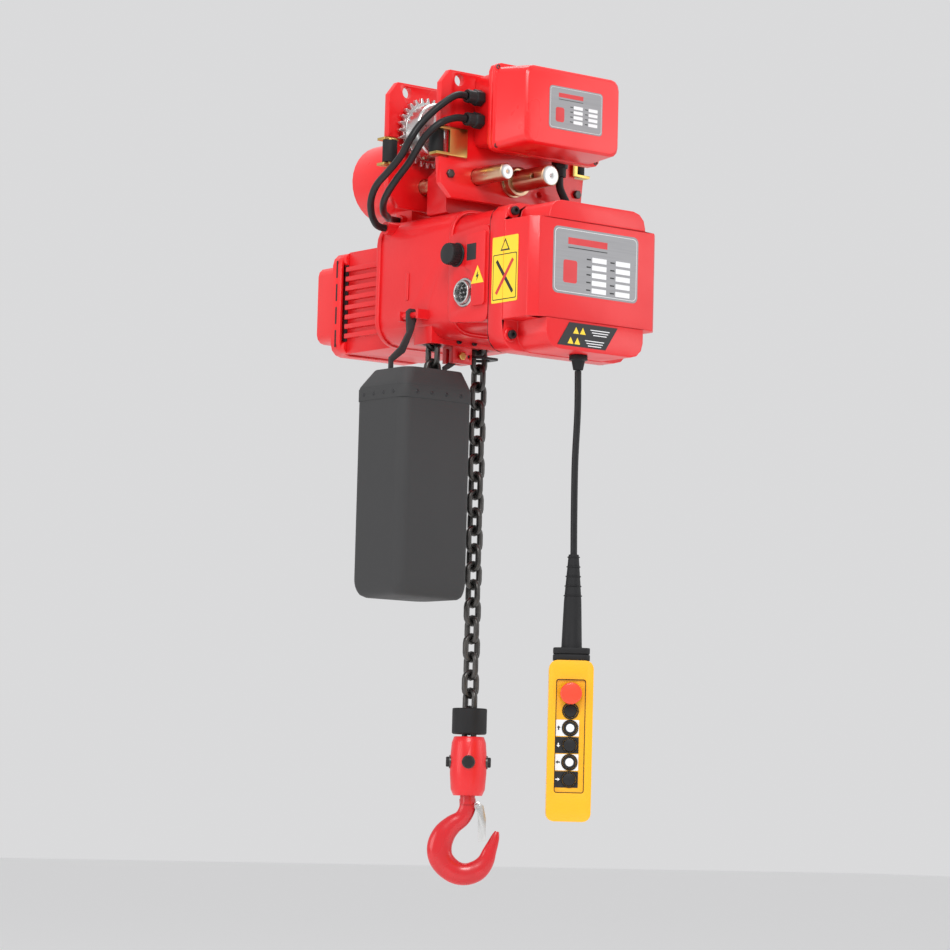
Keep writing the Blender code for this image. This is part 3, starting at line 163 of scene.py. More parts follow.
stopRed = newMaterial("stopRed", (0.86, 0.06, 0.02), 0.34, coat=0.2)
addSpread(stopRed, 40, 0.28, 0.42, (0.80, 0.05, 0.015))
addBump(stopRed, 500, 0.00008, 0.25)
white = newMaterial("whitePlastic", (0.86, 0.87, 0.88), 0.35)
addSpread(white, 30, 0.28, 0.42, (0.82, 0.83, 0.84))
addBump(white, 500, 0.00006, 0.2)
plateGrey = newMaterial("plateSilver", (0.31, 0.31, 0.32), 0.48, 0.35)
addSpread(plateGrey, 60, 0.42, 0.54, (0.27, 0.27, 0.28), 3.0, (0.2, 1, 6))
addBump(plateGrey, 400, 0.00004, 0.3, 1.0, (0.2, 1, 8))
plateWhite = newMaterial("plateWhite", (0.80, 0.80, 0.81), 0.45)
addSpread(plateWhite, 40, 0.4, 0.5, (0.74, 0.74, 0.76))
plateRed = newMaterial("plateRed", (0.62, 0.03, 0.035), 0.40)
addSpread(plateRed, 40, 0.36, 0.46, (0.55, 0.025, 0.03))
labelYellow = newMaterial("labelYellow", (0.90, 0.62, 0.03), 0.42)
addSpread(labelYellow, 40, 0.36, 0.48, (0.86, 0.57, 0.02))
labelBlack = newMaterial("labelBlack", (0.02, 0.02, 0.022), 0.38)
addSpread(labelBlack, 40, 0.34, 0.44, (0.03, 0.03, 0.032))
for dark, level in ((rubber, 0.18), (flex, 0.22), (plastic, 0.22), (labelBlack, 0.25), (greyPlastic, 0.30)):
    dark.node_tree.nodes["Principled BSDF"].inputs["Specular IOR Level"].default_value = level
print("materials made")


# Camera, light and floor

view = {"azimuth": -38.0, "elevation": -5.67, "roll": -1.5, "place": (-3.677, -4.696, -1.112), "lens": 136.4,
        "sensor": 36, "shift": (0.003, -0.004)}
azimuth, elevation = math.radians(view["azimuth"]), math.radians(view["elevation"])
ahead = Vector((-math.sin(azimuth) * math.cos(elevation), math.cos(azimuth) * math.cos(elevation),
                -math.sin(elevation)))
camera = bpy.data.objects.new("camera", bpy.data.cameras.new("camera"))
camera.data.lens = view["lens"]
camera.data.sensor_width = view["sensor"]
camera.data.shift_x, camera.data.shift_y = view["shift"]
aim = ahead.to_track_quat("-Z", "Y").to_matrix().to_4x4()
camera.matrix_world = Matrix.Translation(view["place"]) @ aim @ Matrix.Rotation(math.radians(-view["roll"]), 4, "Z")
bpy.context.scene.collection.objects.link(camera)
bpy.context.scene.camera = camera

lamps = {
    "key": ((-2.6, -3.2, 2.4), 2.0, 120),
    "fill": ((3.2, -3.0, 0.4), 2.8, 34),
    "side": ((-3.8, 0.6, -0.2), 2.4, 32),
    "top": ((0.3, 0.6, 3.2), 2.2, 85),
    "low": ((-1.0, -2.6, -2.6), 2.6, 14),
}
for name, (place, size, power) in lamps.items():
    lamp = bpy.data.lights.new(name, "AREA")
    lamp.shape = "DISK"
    lamp.size = size
    lamp.energy = power
    holder = bpy.data.objects.new(name, lamp)
    holder.location = place
    holder.rotation_euler = (Vector((0, 0, -0.4)) - Vector(place)).to_track_quat("-Z", "Y").to_euler()
    bpy.context.scene.collection.objects.link(holder)
world = bpy.data.worlds.new("studio")
world.use_nodes = True
world.node_tree.nodes["Background"].inputs["Color"].default_value = (0.95, 0.95, 0.96, 1)
world.node_tree.nodes["Background"].inputs["Strength"].default_value = 0.74
bpy.context.scene.world = world
bpy.context.scene.view_settings.view_transform = "Standard"

floorHalf, floorLevel = 40, -1.7
floorMesh = bpy.data.meshes.new("floor")
floorMesh.from_pydata([(floorHalf * x, floorHalf * y, floorLevel) for x, y in ((-1, -1), (1, -1), (1, 1), (-1, 1))],
                      [], [(0, 1, 2, 3)])
floor = bpy.data.objects.new("floor", floorMesh)
floorMesh.materials.append(newMaterial("paleFloor", (0.9, 0.9, 0.9), 0.9))
bpy.context.scene.collection.objects.link(floor)


# Shapes


def addMesh(name, mesh, material, body="root", angle=35):
    mesh.materials.clear()
    mesh.materials.append(material)
    mesh.shade_smooth()
    mesh.set_sharp_from_angle(angle=math.radians(angle))
    piece = bpy.data.objects.new(name, mesh)
    bpy.context.scene.collection.objects.link(piece)
    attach(piece, body)
    return piece


def meshOf(work, name):
    bmesh.ops.remove_doubles(work, verts=work.verts, dist=1e-6)
    bmesh.ops.recalc_face_normals(work, faces=work.faces)
    mesh = bpy.data.meshes.new(name)
    work.to_mesh(mesh)
    work.free()
    return mesh


# Applies a piece's modifiers.
def baked(piece):
    graph = bpy.context.evaluated_depsgraph_get()
    mesh = bpy.data.meshes.new_from_object(piece.evaluated_get(graph))
    piece.modifiers.clear()
    piece.data = mesh
    return piece


# Rounds the edges that turn more than angle, and shades those past crease as sharp.
def bevelled(piece, width, segments=2, angle=30, crease=50):
    modifier = piece.modifiers.new("edges", "BEVEL")
    modifier.width = width
    modifier.segments = segments
    modifier.limit_method = "ANGLE"
    modifier.angle_limit = math.radians(angle)
    baked(piece)
    piece.data.shade_smooth()
    piece.data.set_sharp_from_angle(angle=math.radians(crease))


# A copy of a CAD node with its flats merged and its edges rounded, which replaces the node.
def polish(node, material, width, segments=2):
    weldWithin, flatWithin = 2e-5, math.radians(1.0)
    source = frame["nodes"][node]
    work = bmesh.new()
    work.from_mesh(source.data)
    bmesh.ops.remove_doubles(work, verts=work.verts, dist=weldWithin)
    bmesh.ops.dissolve_limit(work, angle_limit=flatWithin, verts=work.verts, edges=work.edges)
    bmesh.ops.recalc_face_normals(work, faces=work.faces)
    mesh = bpy.data.meshes.new(node + "Finished")
    work.to_mesh(mesh)
    work.free()
    piece = addMesh(node + "Finished", mesh, material, source["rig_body"], 40)
    if width:
        bevelled(piece, width, segments, 32, 42)
    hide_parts(node)
    return piece


# A flat outline on a surface: across and up are its axes, and it grows along their cross product.
def slab(name, loop, thick, place, across, up, material, body="root", edge=0.0):
    out = Vector(across).cross(Vector(up)).normalized()
    work = bmesh.new()
    points = [Vector(place) + Vector(across) * u + Vector(up) * v for u, v in loop]
    low = [work.verts.new(point) for point in points]
    high = [work.verts.new(point + out * thick) for point in points]
    work.faces.new(reversed(low))
    work.faces.new(high)
    for index in range(len(low)):
        following = (index + 1) % len(low)
        work.faces.new((low[index], low[following], high[following], high[index]))
    piece = addMesh(name, meshOf(work, name), material, body)
    if edge:
        bevelled(piece, edge)
    return piece


def roundedLoop(width, height, radius, steps=6):
    loop = []
    for centreX, centreY, start in ((1, 1, 0), (-1, 1, 90), (-1, -1, 180), (1, -1, 270)):
        for step in range(steps + 1):
            turn = math.radians(start + 90 * step / steps)
            loop.append((centreX * (width / 2 - radius) + radius * math.cos(turn),
                         centreY * (height / 2 - radius) + radius * math.sin(turn)))
    return loop


# (radius, height) pairs turned about axis through place.
def lathe(name, profile, place, axis, material, body="root", steps=48, angle=35):
    spin = Vector(axis).to_track_quat("Z", "Y").to_matrix().to_4x4()
    work = bmesh.new()
    rings = []
    for radius, height in profile:
        if radius < 1e-6:
            rings.append([work.verts.new((0, 0, height))])
        else:
            rings.append([work.verts.new((radius * math.cos(2 * math.pi * step / steps),
                                          radius * math.sin(2 * math.pi * step / steps), height))
                          for step in range(steps)])
    for first, second in zip(rings, rings[1:]):
        for step in range(steps):
            following = (step + 1) % steps
            corners = [first[step % len(first)], first[following % len(first)],
                       second[following % len(second)], second[step % len(second)]]
            kept = [corner for index, corner in enumerate(corners) if corner not in corners[:index]]
            if len(kept) > 2:
                work.faces.new(kept)
    mesh = meshOf(work, name)
    mesh.transform(Matrix.Translation(place) @ spin)
    return addMesh(name, mesh, material, body, angle)


# Points on a smooth curve through the route.
def smoothLine(route, spacing=0.004):
    ends = [Vector(point) for point in (route[0], *route, route[-1])]
    found = []
    for before, start, end, after in zip(ends, ends[1:], ends[2:], ends[3:]):
        steps = max(1, round((end - start).length / spacing))
        for step in range(steps):
            share = step / steps
            found.append(start * (2 * share**3 - 3 * share**2 + 1)
                         + (end - before) / 2 * (share**3 - 2 * share**2 + share)
                         + end * (3 * share**2 - 2 * share**3)
                         + (after - start) / 2 * (share**3 - share**2))
    found.append(ends[-1])
    return found


# A tube of changing radius along points, squeezed along flatAxis.
def sweep(name, points, radii, material, body="root", flatness=1.0, flatAxis=(0, 1, 0), sides=20):
    flat = Vector(flatAxis).normalized()
    work = bmesh.new()
    rings = []
    for index, point in enumerate(points):
        ahead = (points[min(index + 1, len(points) - 1)] - points[max(index - 1, 0)]).normalized()
        outward = flat.cross(ahead).normalized()
        ring = []
        for side in range(sides):
            turn = 2 * math.pi * side / sides
            spot = point + outward * radii[index] * math.cos(turn) + flat * radii[index] * flatness * math.sin(turn)
            ring.append(work.verts.new(spot))
        rings.append(ring)
    for first, second in zip(rings, rings[1:]):
        for side in range(sides):
            following = (side + 1) % sides
            work.faces.new((first[side], first[following], second[following], second[side]))
    work.faces.new(rings[0])
    work.faces.new(rings[-1])
    return addMesh(name, meshOf(work, name), material, body, 60)


# Geometry Nodes: copies of a piece along a line, each turned further than the last.
def copiesGroup():
    group = bpy.data.node_groups.new("lineOfCopies", "GeometryNodeTree")
    for label, kind in (("Geometry", "NodeSocketGeometry"), ("Count", "NodeSocketInt"),
                        ("Offset", "NodeSocketVector"), ("Turn", "NodeSocketVector"),
                        ("Material", "NodeSocketMaterial")):
        group.interface.new_socket(label, in_out="INPUT", socket_type=kind)
    group.interface.new_socket("Geometry", in_out="OUTPUT", socket_type="NodeSocketGeometry")
    nodes, links = group.nodes, group.links
    start = nodes.new("NodeGroupInput")
    end = nodes.new("NodeGroupOutput")
    line = nodes.new("GeometryNodeMeshLine")
    place = nodes.new("GeometryNodeInstanceOnPoints")
    index = nodes.new("GeometryNodeInputIndex")
    times = nodes.new("ShaderNodeVectorMath")
    times.operation = "SCALE"
    real = nodes.new("GeometryNodeRealizeInstances")
    paint = nodes.new("GeometryNodeSetMaterial")
    links.new(start.outputs["Count"], line.inputs["Count"])
    links.new(start.outputs["Offset"], line.inputs["Offset"])
    links.new(line.outputs["Mesh"], place.inputs["Points"])
    links.new(start.outputs["Geometry"], place.inputs["Instance"])
    links.new(start.outputs["Turn"], times.inputs[0])
    links.new(index.outputs["Index"], times.inputs["Scale"])
    links.new(times.outputs["Vector"], place.inputs["Rotation"])
    links.new(place.outputs["Instances"], real.inputs["Geometry"])
    links.new(real.outputs["Geometry"], paint.inputs["Geometry"])
    links.new(start.outputs["Material"], paint.inputs["Material"])
    links.new(paint.outputs["Geometry"], end.inputs["Geometry"])
    return group


lineOfCopies = copiesGroup()


# Runs lineOfCopies on a piece made round the origin, then moves the whole row to place.
def repeated(piece, count, offset, turn=(0, 0, 0), place=(0, 0, 0)):
    material = piece.data.materials[0]
    modifier = piece.modifiers.new("copies", "NODES")
    modifier.node_group = lineOfCopies
    wanted = {"Count": count, "Offset": Vector(offset), "Turn": Vector(turn), "Material": material}
    for item in lineOfCopies.interface.items_tree:
        if item.in_out == "INPUT" and item.name in wanted:
            modifier[item.identifier] = wanted[item.name]
    baked(piece)
    piece.data.transform(Matrix.Translation(place))
    piece.data.shade_smooth()
    piece.data.set_sharp_from_angle(angle=math.radians(40))
    return piece


# A screw head with a socket in it, its seat at place.
def socketScrew(name, place, axis, radius, height, material, body="root"):
    return lathe(name, [(0, height * 0.35), (radius * 0.50, height * 0.35), (radius * 0.50, height * 0.96),
                        (radius * 0.56, height), (radius * 0.90, height), (radius, height * 0.88), (radius, 0),
                        (0, 0)], place, axis, material, body, 24, 30)


def hexBolt(name, place, axis, radius, height, material, body="root"):
    return lathe(name, [(0, height), (radius * 0.82, height), (radius, height * 0.85), (radius, 0), (0, 0)],
                 place, axis, material, body, 6, 25)


# Cables


# A free cable along a smooth line through the route that its CAD tube follows.
def cable(name, route, diameter, body, node, material):
    points = smoothLine(route)
    curve = bpy.data.curves.new(name, "CURVE")
    curve.dimensions = "3D"
    curve.bevel_depth = diameter / 2
    curve.bevel_resolution = 5
    curve.use_fill_caps = True
    line = curve.splines.new("POLY")
    line.points.add(len(points) - 1)
    for dot, point in zip(line.points, points):
        dot.co = (*point, 1)
    line.use_smooth = True
    curve.materials.append(material)
    piece = bpy.data.objects.new(name, curve)
    bpy.context.scene.collection.objects.link(piece)
    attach(piece, body)
    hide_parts(node)
    return piece


linkRoute = [(-0.1175, -0.097, 0.084), (-0.138, -0.096, 0.0815), (-0.165, -0.086, 0.060), (-0.187, -0.070, 0.032),
             (-0.203, -0.062, 0.004), (-0.208, -0.045, -0.022), (-0.206, -0.010, -0.042), (-0.200, 0.030, -0.059),
             (-0.190, 0.058, -0.078), (-0.175, 0.077, -0.097), (-0.159, 0.087, -0.111), (-0.146, 0.0915, -0.1155),
             (-0.1345, 0.092, -0.116)]
travelRoute = [(-0.1175, -0.097, 0.046), (-0.138, -0.097, 0.044), (-0.164, -0.092, 0.033), (-0.182, -0.078, 0.012),
               (-0.188, -0.062, -0.010), (-0.189, -0.042, -0.030), (-0.188, -0.008, -0.053),
               (-0.180, 0.026, -0.070), (-0.166, 0.056, -0.082), (-0.140, 0.090, -0.090), (-0.104, 0.126, -0.090),
               (-0.075, 0.162, -0.085), (-0.053, 0.1785, -0.082), (-0.0412, 0.180, -0.082)]
supplyRoute = [(0.080, -0.103, -0.0265), (0.081, -0.104, -0.045), (0.092, -0.108, -0.068), (0.103, -0.112, -0.085),
               (0.104, -0.112, -0.0995)]
handsetRoute = [(0.0, -0.260, -0.3735), (0.0010, -0.260, -0.440), (-0.0010, -0.259, -0.520),
                (-0.0010, -0.2595, -0.600), (0.0, -0.260, -0.6707)]
cable("linkCable", linkRoute, 0.012, "root", "link_cable", flex)
cable("travelCable", travelRoute, 0.012, "root", "travel_cable", flex)
cable("supplyCable", supplyRoute, 0.013, "root", "supply_cable", flex)
cable("handsetCord", handsetRoute, 0.011, "handset", "handset_cord", flex)
print("cables made")


# CAD pieces with rounded edges

corners = [f"{a}_{b}" for a in ("front", "rear") for b in ("left", "right")]
finished = {
    redPaint: [("side_plate_front", 0.0012), ("side_plate_rear", 0.0012), ("travel_box_base", 0.0012),
               ("travel_box_lid", 0.0015), ("travel_motor", 0.0015), ("fan_cover", 0.0020)],
    redCast: [("suspender", 0.0025), ("main_housing", 0.0020), ("control_housing", 0.0020),
              ("control_cover", 0.0013), ("travel_gearbox", 0.0030), ("chain_guide", 0.0015),
              ("motor_housing", 0.0010), ("hook_block", 0.0015)],
    zinc: [("main_shaft", 0.0008), ("tie_shaft", 0.0008), ("shaft_collar", 0.0008)],
    brass: [("guide_bracket_" + corner, 0.0010) for corner in corners],
    steel: [("wheel_" + corner, 0.0008) for corner in corners] + [("drive_pinion", 0.0005), ("load_sheave", 0.0006),
            ("idler_gear", 0), ("motor_rotor", 0), ("power_socket", 0.0006)],
    rubber: [("guide_roller_" + corner, 0.0012) for corner in corners] + [("chain_bumper", 0.0010),
             ("handset_gland", 0.0008)],
    plastic: [("gland_link", 0.0010), ("gland_travel", 0.0010), ("gland_supply", 0.0010), ("plug_cap", 0.0018),
              ("limit_lever", 0.0008), ("start_button", 0.0010), ("down_button", 0.0010), ("right_button", 0.0010)],
    greyPlastic: [("hanger_left", 0.0006), ("hanger_right", 0.0008)],
    yellow: [("handset_body", 0.0045)],
    stopRed: [("stop_button", 0.0030)],
    white: [("up_button", 0.0010), ("left_button", 0.0010)],
}
made = {}
for material, rows in finished.items():
    for node, width in rows:
        made[node] = polish(node, material, width, 3 if width > 0.0019 else 2)
print("CAD pieces finished")


# Chains


# Links of true shape on the straight run that the CAD chain takes.
def chainRow(name, node, body, across, top, count, flatFirst):
    size = {"wire": 0.005, "bend": 0.012, "pitch": 0.030, "reach": 0.0199, "bendSteps": 8, "sides": 10}
    path = []
    for sign in (1, -1):
        for step in range(size["bendSteps"] + 1):
            turn = math.radians(180 / size["bendSteps"] * step) + (0 if sign > 0 else math.pi)
            path.append(Vector((size["bend"] * math.cos(turn), 0,
                                sign * (size["reach"] - size["bend"]) + size["bend"] * math.sin(turn))))
    sides = size["sides"]
    work = bmesh.new()
    rings = []
    for index, point in enumerate(path):
        ahead = (path[(index + 1) % len(path)] - path[index - 1]).normalized()
        outward = Vector((0, 1, 0)).cross(ahead)
        rings.append([work.verts.new(point + size["wire"] * (outward * math.cos(2 * math.pi * side / sides)
                                     + Vector((0, 1, 0)) * math.sin(2 * math.pi * side / sides)))
                      for side in range(sides)])
    for index, ring in enumerate(rings):
        following = rings[(index + 1) % len(rings)]
        for side in range(sides):
            after = (side + 1) % sides
            work.faces.new((ring[side], ring[after], following[after], following[side]))
    mesh = meshOf(work, name)
    if not flatFirst:
        mesh.transform(Matrix.Rotation(math.pi / 2, 4, "Z"))
    row = repeated(addMesh(name, mesh, chainSteel, body), count, (0, 0, -size["pitch"]), (0, 0, math.pi / 2),
                   (across, 0, top))
    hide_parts(node)
    return row


chainRow("loadChainLinks", "load_chain", "lifted", 0.0, -0.214, 27, True)
chainRow("slackChainLinks", "slack_chain", "slack", -0.097, -0.2145, 9, False)
print("chains made")


# Hook and latch

hookFace = Matrix.Rotation(viewTurn, 4, "Z")
hookCentre = -1.141
spine = [(0.000, 0.078, 0.0135), (0.000, 0.062, 0.0135), (-0.008, 0.046, 0.0139), (-0.024, 0.034, 0.0162),
         (-0.037, 0.019, 0.0190), (-0.0440, 0.000, 0.0205), (-0.042, -0.019, 0.0203), (-0.031, -0.034, 0.0196),
         (-0.015, -0.0440, 0.0188), (0.003, -0.0455, 0.0181), (0.020, -0.0385, 0.0172), (0.032, -0.025, 0.0142),
         (0.0385, -0.008, 0.0115), (0.0440, 0.006, 0.0090), (0.0480, 0.018, 0.0065), (0.0500, 0.0255, 0.0035)]
raw = smoothLine([(across, radius * 1e-3, hookCentre + up) for across, up, radius in spine], 0.003)
hook = sweep("hookForged", [Vector((point.x, 0, point.z)) for point in raw], [point.y * 1e3 for point in raw],
             redForged, "hook", 0.65, sides=28)
hook.data.transform(hookFace)
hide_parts("hook")
lathe("hookShank", [(0, -1.0205), (0.0165, -1.0205), (0.0180, -1.0215), (0.0180, -1.0345), (0.0125, -1.0345),
                    (0.0125, -1.0720), (0, -1.0720)], (0, 0, 0), (0, 0, 1), redForged, "hook")
eyePlace = hookFace @ Vector((0.0165, 0, hookCentre + 0.0665))
faceOut = hookFace @ Vector((0, -1, 0))
faceAcross = hookFace @ Vector((1, 0, 0))
lathe("hookEye", [(0.0031, 0.0060), (0.0050, 0.0060), (0.0050, -0.0060), (0.0031, -0.0060), (0.0031, 0.0060)],
      eyePlace, faceOut, redForged, "hook", 24)
slab("hookLug", [(-0.010, -0.004), (-0.003, -0.004), (-0.003, 0.004), (-0.010, 0.004)], 0.012,
     eyePlace - faceOut * 0.006, faceAcross, (0, 0, 1), redForged, "hook", 0.001)
polish("hook_latch", steel, 0.0008, 2)
lathe("latchRivet", [(0, 0.0120), (0.0030, 0.0120), (0.0044, 0.0105), (0.0044, 0.0096), (0, 0.0096)], eyePlace,
      faceOut, steel, "latch", 20)

# Bolts round the hook block, and rings on the bumper
blockBolt = {"level": -1.0029, "reach": 0.0300, "radius": 0.0096, "height": 0.0072}
bumperLevel = -0.914
for quarter in range(4):
    outward = Matrix.Rotation(viewTurn + quarter * math.pi / 2, 4, "Z") @ Vector((1, 0, 0))
    seat = outward * blockBolt["reach"] + Vector((0, 0, blockBolt["level"]))
    hexBolt(f"blockBolt{quarter}", seat, outward, blockBolt["radius"], blockBolt["height"], plastic, "lifted")
    lathe(f"blockWasher{quarter}", [(0, 0.0020), (0.0105, 0.0020), (0.0110, 0.0015), (0.0110, -0.002), (0, -0.002)],
          seat, outward, chainSteel, "lifted", 32)
for row, level in enumerate((-0.0012, -0.0408)):
    lathe(f"bumperRing{row}", [(0.0205, 0.0008), (0.0280, 0.0008), (0.0289, 0), (0.0280, -0.0008), (0.0205, -0.0008),
                               (0.0205, 0.0008)], (0, 0, bumperLevel + level), (0, 0, 1), rubber, "lifted", 48)
print("hook made")


# Plates and labels

frontAcross, sideAcross, upright = (1, 0, 0), (0, -1, 0), (0, 0, 1)


# A blank rating plate: silver ground, a coloured band and empty fields.
def ratingPlate(name, place, width, height, across, rows):
    layers = {"border": 0.0006, "field": 0.0007, "print": 0.0008}
    out = Vector(across).cross(Vector(upright))
    slab(name + "Ground", roundedLoop(width, height, 0.09 * height), 0.0006, place, across, upright, plateGrey,
         "root", 0.0002)
    slab(name + "Border", roundedLoop(width * 0.965, height * 0.94, 0.075 * height), 0.0001,
         Vector(place) + out * layers["border"], across, upright, plateWhite)
    slab(name + "Field", roundedLoop(width * 0.955, height * 0.925, 0.07 * height), 0.0001,
         Vector(place) + out * layers["field"], across, upright, plateGrey)
    spot = Vector(place) + out * layers["print"]

    def mark(label, centreX, centreY, wide, high, material, radius=0.0006):
        slab(name + label, roundedLoop(wide, high, min(radius, wide / 2.2, high / 2.2), 3), 0.0001,
             spot + Vector(across) * centreX + Vector(upright) * centreY, across, upright, material)

    mark("Band", -0.10 * width, 0.30 * height, 0.46 * width, 0.10 * height, plateRed)
    mark("Rule", -0.10 * width, 0.20 * height, 0.46 * width, 0.012 * height, labelBlack, 0.0001)
    mark("Block", -0.30 * width, -0.16 * height, 0.16 * width, 0.34 * height, plateRed, 0.004)
    for row in range(rows):
        level = (0.06 - 0.115 * row) * height
        for column, centre in enumerate((0.04, 0.32)):
            mark(f"Entry{row}{column}", centre * width, level, 0.17 * width, 0.075 * height, plateWhite)
            mark(f"Mark{row}{column}", (centre - 0.125) * width, level, 0.05 * width, 0.02 * height, labelBlack,
                 0.0002)


ratingPlate("hoistPlate", (-0.003, -0.3018, -0.205), 0.178, 0.108, frontAcross, 5)
ratingPlate("trolleyPlate", (0.0215, -0.2129, 0.0625), 0.113, 0.071, frontAcross, 4)

sidePlace = Vector((-0.1330, -0.2315, -0.2195))
frameDrop, signRise = -0.012, 0.038
slab("safetyLabel", roundedLoop(0.066, 0.107, 0.003), 0.0005, sidePlace, sideAcross, upright, labelYellow)
slab("safetyFrame", roundedLoop(0.060, 0.074, 0.002), 0.0001, sidePlace + Vector((-0.0005, 0, frameDrop)), sideAcross,
     upright, labelBlack)
slab("safetyInner", roundedLoop(0.057, 0.071, 0.002), 0.0001, sidePlace + Vector((-0.0006, 0, frameDrop)), sideAcross,
     upright, labelYellow)
for index, (tilt, material) in enumerate(((52, labelBlack), (-52, plateRed))):
    lean = Matrix.Rotation(math.radians(tilt), 4, "X")
    slab(f"safetyBar{index}", roundedLoop(0.068, 0.006, 0.001), 0.0001,
         sidePlace + Vector((-0.0007 - 0.0001 * index, 0, frameDrop)), lean @ Vector(sideAcross),
         lean @ Vector(upright), material)
slab("safetySign", [(-0.012, -0.008), (0.012, -0.008), (0, 0.012)], 0.0002,
     sidePlace + Vector((-0.0005, 0, signRise)), sideAcross, upright, labelBlack)
slab("safetySignInner", [(-0.008, -0.0055), (0.008, -0.0055), (0, 0.008)], 0.0002,
     sidePlace + Vector((-0.0007, 0, signRise)), sideAcross, upright, labelYellow)

columnX = -0.1380
slab("columnLabel", roundedLoop(0.024, 0.027, 0.001), 0.0004, (columnX, -0.1495, -0.183), sideAcross, upright,
     labelBlack)
slab("columnSign", [(-0.0165, -0.013), (0.0165, -0.013), (0, 0.016)], 0.0004, (columnX, -0.1668, -0.223), sideAcross,
     upright, labelYellow)
slab("columnSignMark", [(-0.0020, -0.009), (0.0040, 0.001), (0.0008, 0.001), (0.0020, 0.008), (-0.0040, -0.002),
                        (-0.0008, -0.002)], 0.0002, (columnX - 0.0004, -0.1668, -0.2235), sideAcross, upright,
     labelBlack)

slab("noticeLabel", [(-0.064, -0.018), (0.036, -0.018), (0.061, 0.020), (-0.040, 0.020)], 0.0005,
     (-0.015, -0.3018, -0.3235), frontAcross, upright, labelBlack)
for index in range(2):
    for side in range(2):
        slab(f"noticeSign{index}{side}", [(-0.006, -0.005), (0.006, -0.005), (0, 0.006)], 0.0002,
             (-0.052 + 0.011 * index + 0.014 * side, -0.3023, -0.333 + 0.017 * index), frontAcross, upright,
             labelYellow)
    for line in range(3):
        slab(f"noticeLine{index}{line}", roundedLoop(0.040 - 0.006 * line, 0.0014, 0.0004), 0.0001,
             (-0.002 + 0.011 * index, -0.3023, -0.330 + 0.018 * index - 0.004 * line), frontAcross, upright,
             plateWhite)
print("plates made")


# Fixings and housing detail


# A flat ring between two outlines of the same number of points.
def frameSlab(name, outer, inner, thick, place, across, up, material, body="root", edge=0.0):
    out = Vector(across).cross(Vector(up)).normalized()
    work = bmesh.new()
    rows = []
    for loop in (outer, inner):
        for depth in (0, thick):
            rows.append([work.verts.new(Vector(place) + Vector(across) * u + Vector(up) * v + out * depth)
                         for u, v in loop])
    outerLow, outerHigh, innerLow, innerHigh = rows
    for index in range(len(outer)):
        following = (index + 1) % len(outer)
        for first, second in ((outerLow, outerHigh), (outerHigh, innerHigh), (innerHigh, innerLow),
                              (innerLow, outerLow)):
            work.faces.new((first[index], first[following], second[following], second[index]))
    piece = addMesh(name, meshOf(work, name), material, body)
    if edge:
        bevelled(piece, edge)
    return piece


# Joint flanges of the castings, the screws of housing, cover and lid, and two seals
for name, depth, thick, outer in (("rearFlange", 0.1228, 0.010, (0.256, 0.214)),
                                  ("frontFlange", -0.0760, 0.008, (0.256, 0.206))):
    middle = -0.205 if outer[1] > 0.21 else -0.2045
    frameSlab(name, roundedLoop(outer[0], outer[1], 0.043), roundedLoop(outer[0] - 0.010, outer[1] - 0.010, 0.038),
              thick, (0, depth, middle), frontAcross, upright, redCast, "root", 0.0015)
for index, (across, up) in enumerate(((-0.1, 0.09), (0.1, 0.09), (-0.1, -0.09), (0.1, -0.09), (0, 0.0955),
                                      (-0.119, 0), (0.119, 0))):
    socketScrew(f"rearBolt{index}", (across * 0.98, 0.1226, -0.205 + up * 0.98), (0, 1, 0), 0.0050, 0.005, chainSteel)
for index, (across, level) in enumerate(((-0.1175, -0.1235), (0.1175, -0.1235), (-0.1175, -0.3240),
                                         (0.1175, -0.3240))):
    lathe(f"coverBoss{index}", [(0, 0.004), (0.0105, 0.004), (0.0115, 0.003), (0.0120, -0.001), (0, -0.001)],
          (across, -0.2280, level), (0, -1, 0), redCast)
    socketScrew(f"coverScrew{index}", (across, -0.2318, level), (0, -1, 0), 0.0072, 0.0065, plastic)
for index, (across, level) in enumerate(((-0.0855, 0.0000), (0.1265, 0.0000), (-0.0855, 0.1305),
                                         (0.1265, 0.1305))):
    socketScrew(f"lidScrew{index}", (across, -0.1385, level), (0, -1, 0), 0.0042, 0.0030, chainSteel)
frameSlab("lidSeal", roundedLoop(0.2255, 0.1435, 0.0135), roundedLoop(0.222, 0.140, 0.012), 0.0012,
          (0.021, -0.1332, 0.065), frontAcross, upright, rubber)
frameSlab("coverSeal", roundedLoop(0.2655, 0.2395, 0.0295), roundedLoop(0.262, 0.236, 0.028), 0.0012,
          (0, -0.1896, -0.228), frontAcross, upright, rubber)

# Side plates' small bolts
for side, depth, out in (("Front", -0.077, -1), ("Rear", 0.077, 1)):
    for index, (across, level) in enumerate(((-0.131, -0.045), (0.139, -0.045), (-0.080, 0.047), (0.080, 0.047))):
        hexBolt(f"plateBolt{side}{index}", (across, depth, level), (0, out, 0), 0.0075, 0.0055, chainSteel)

# Machined ends of the two shafts
for name, across, radius, depth in (("mainShaftEnd", 0.0, 0.0160, -0.1780), ("tieShaftEnd", -0.073, 0.0122, -0.1550)):
    lathe(name, [(0, -0.0020), (0.0020, -0.0002), (0.0032, 0.0003), (radius - 0.0012, 0.0003), (radius, -0.0001),
                 (radius, -0.0030), (0, -0.0030)], (across, depth, -0.043), (0, -1, 0), steel)

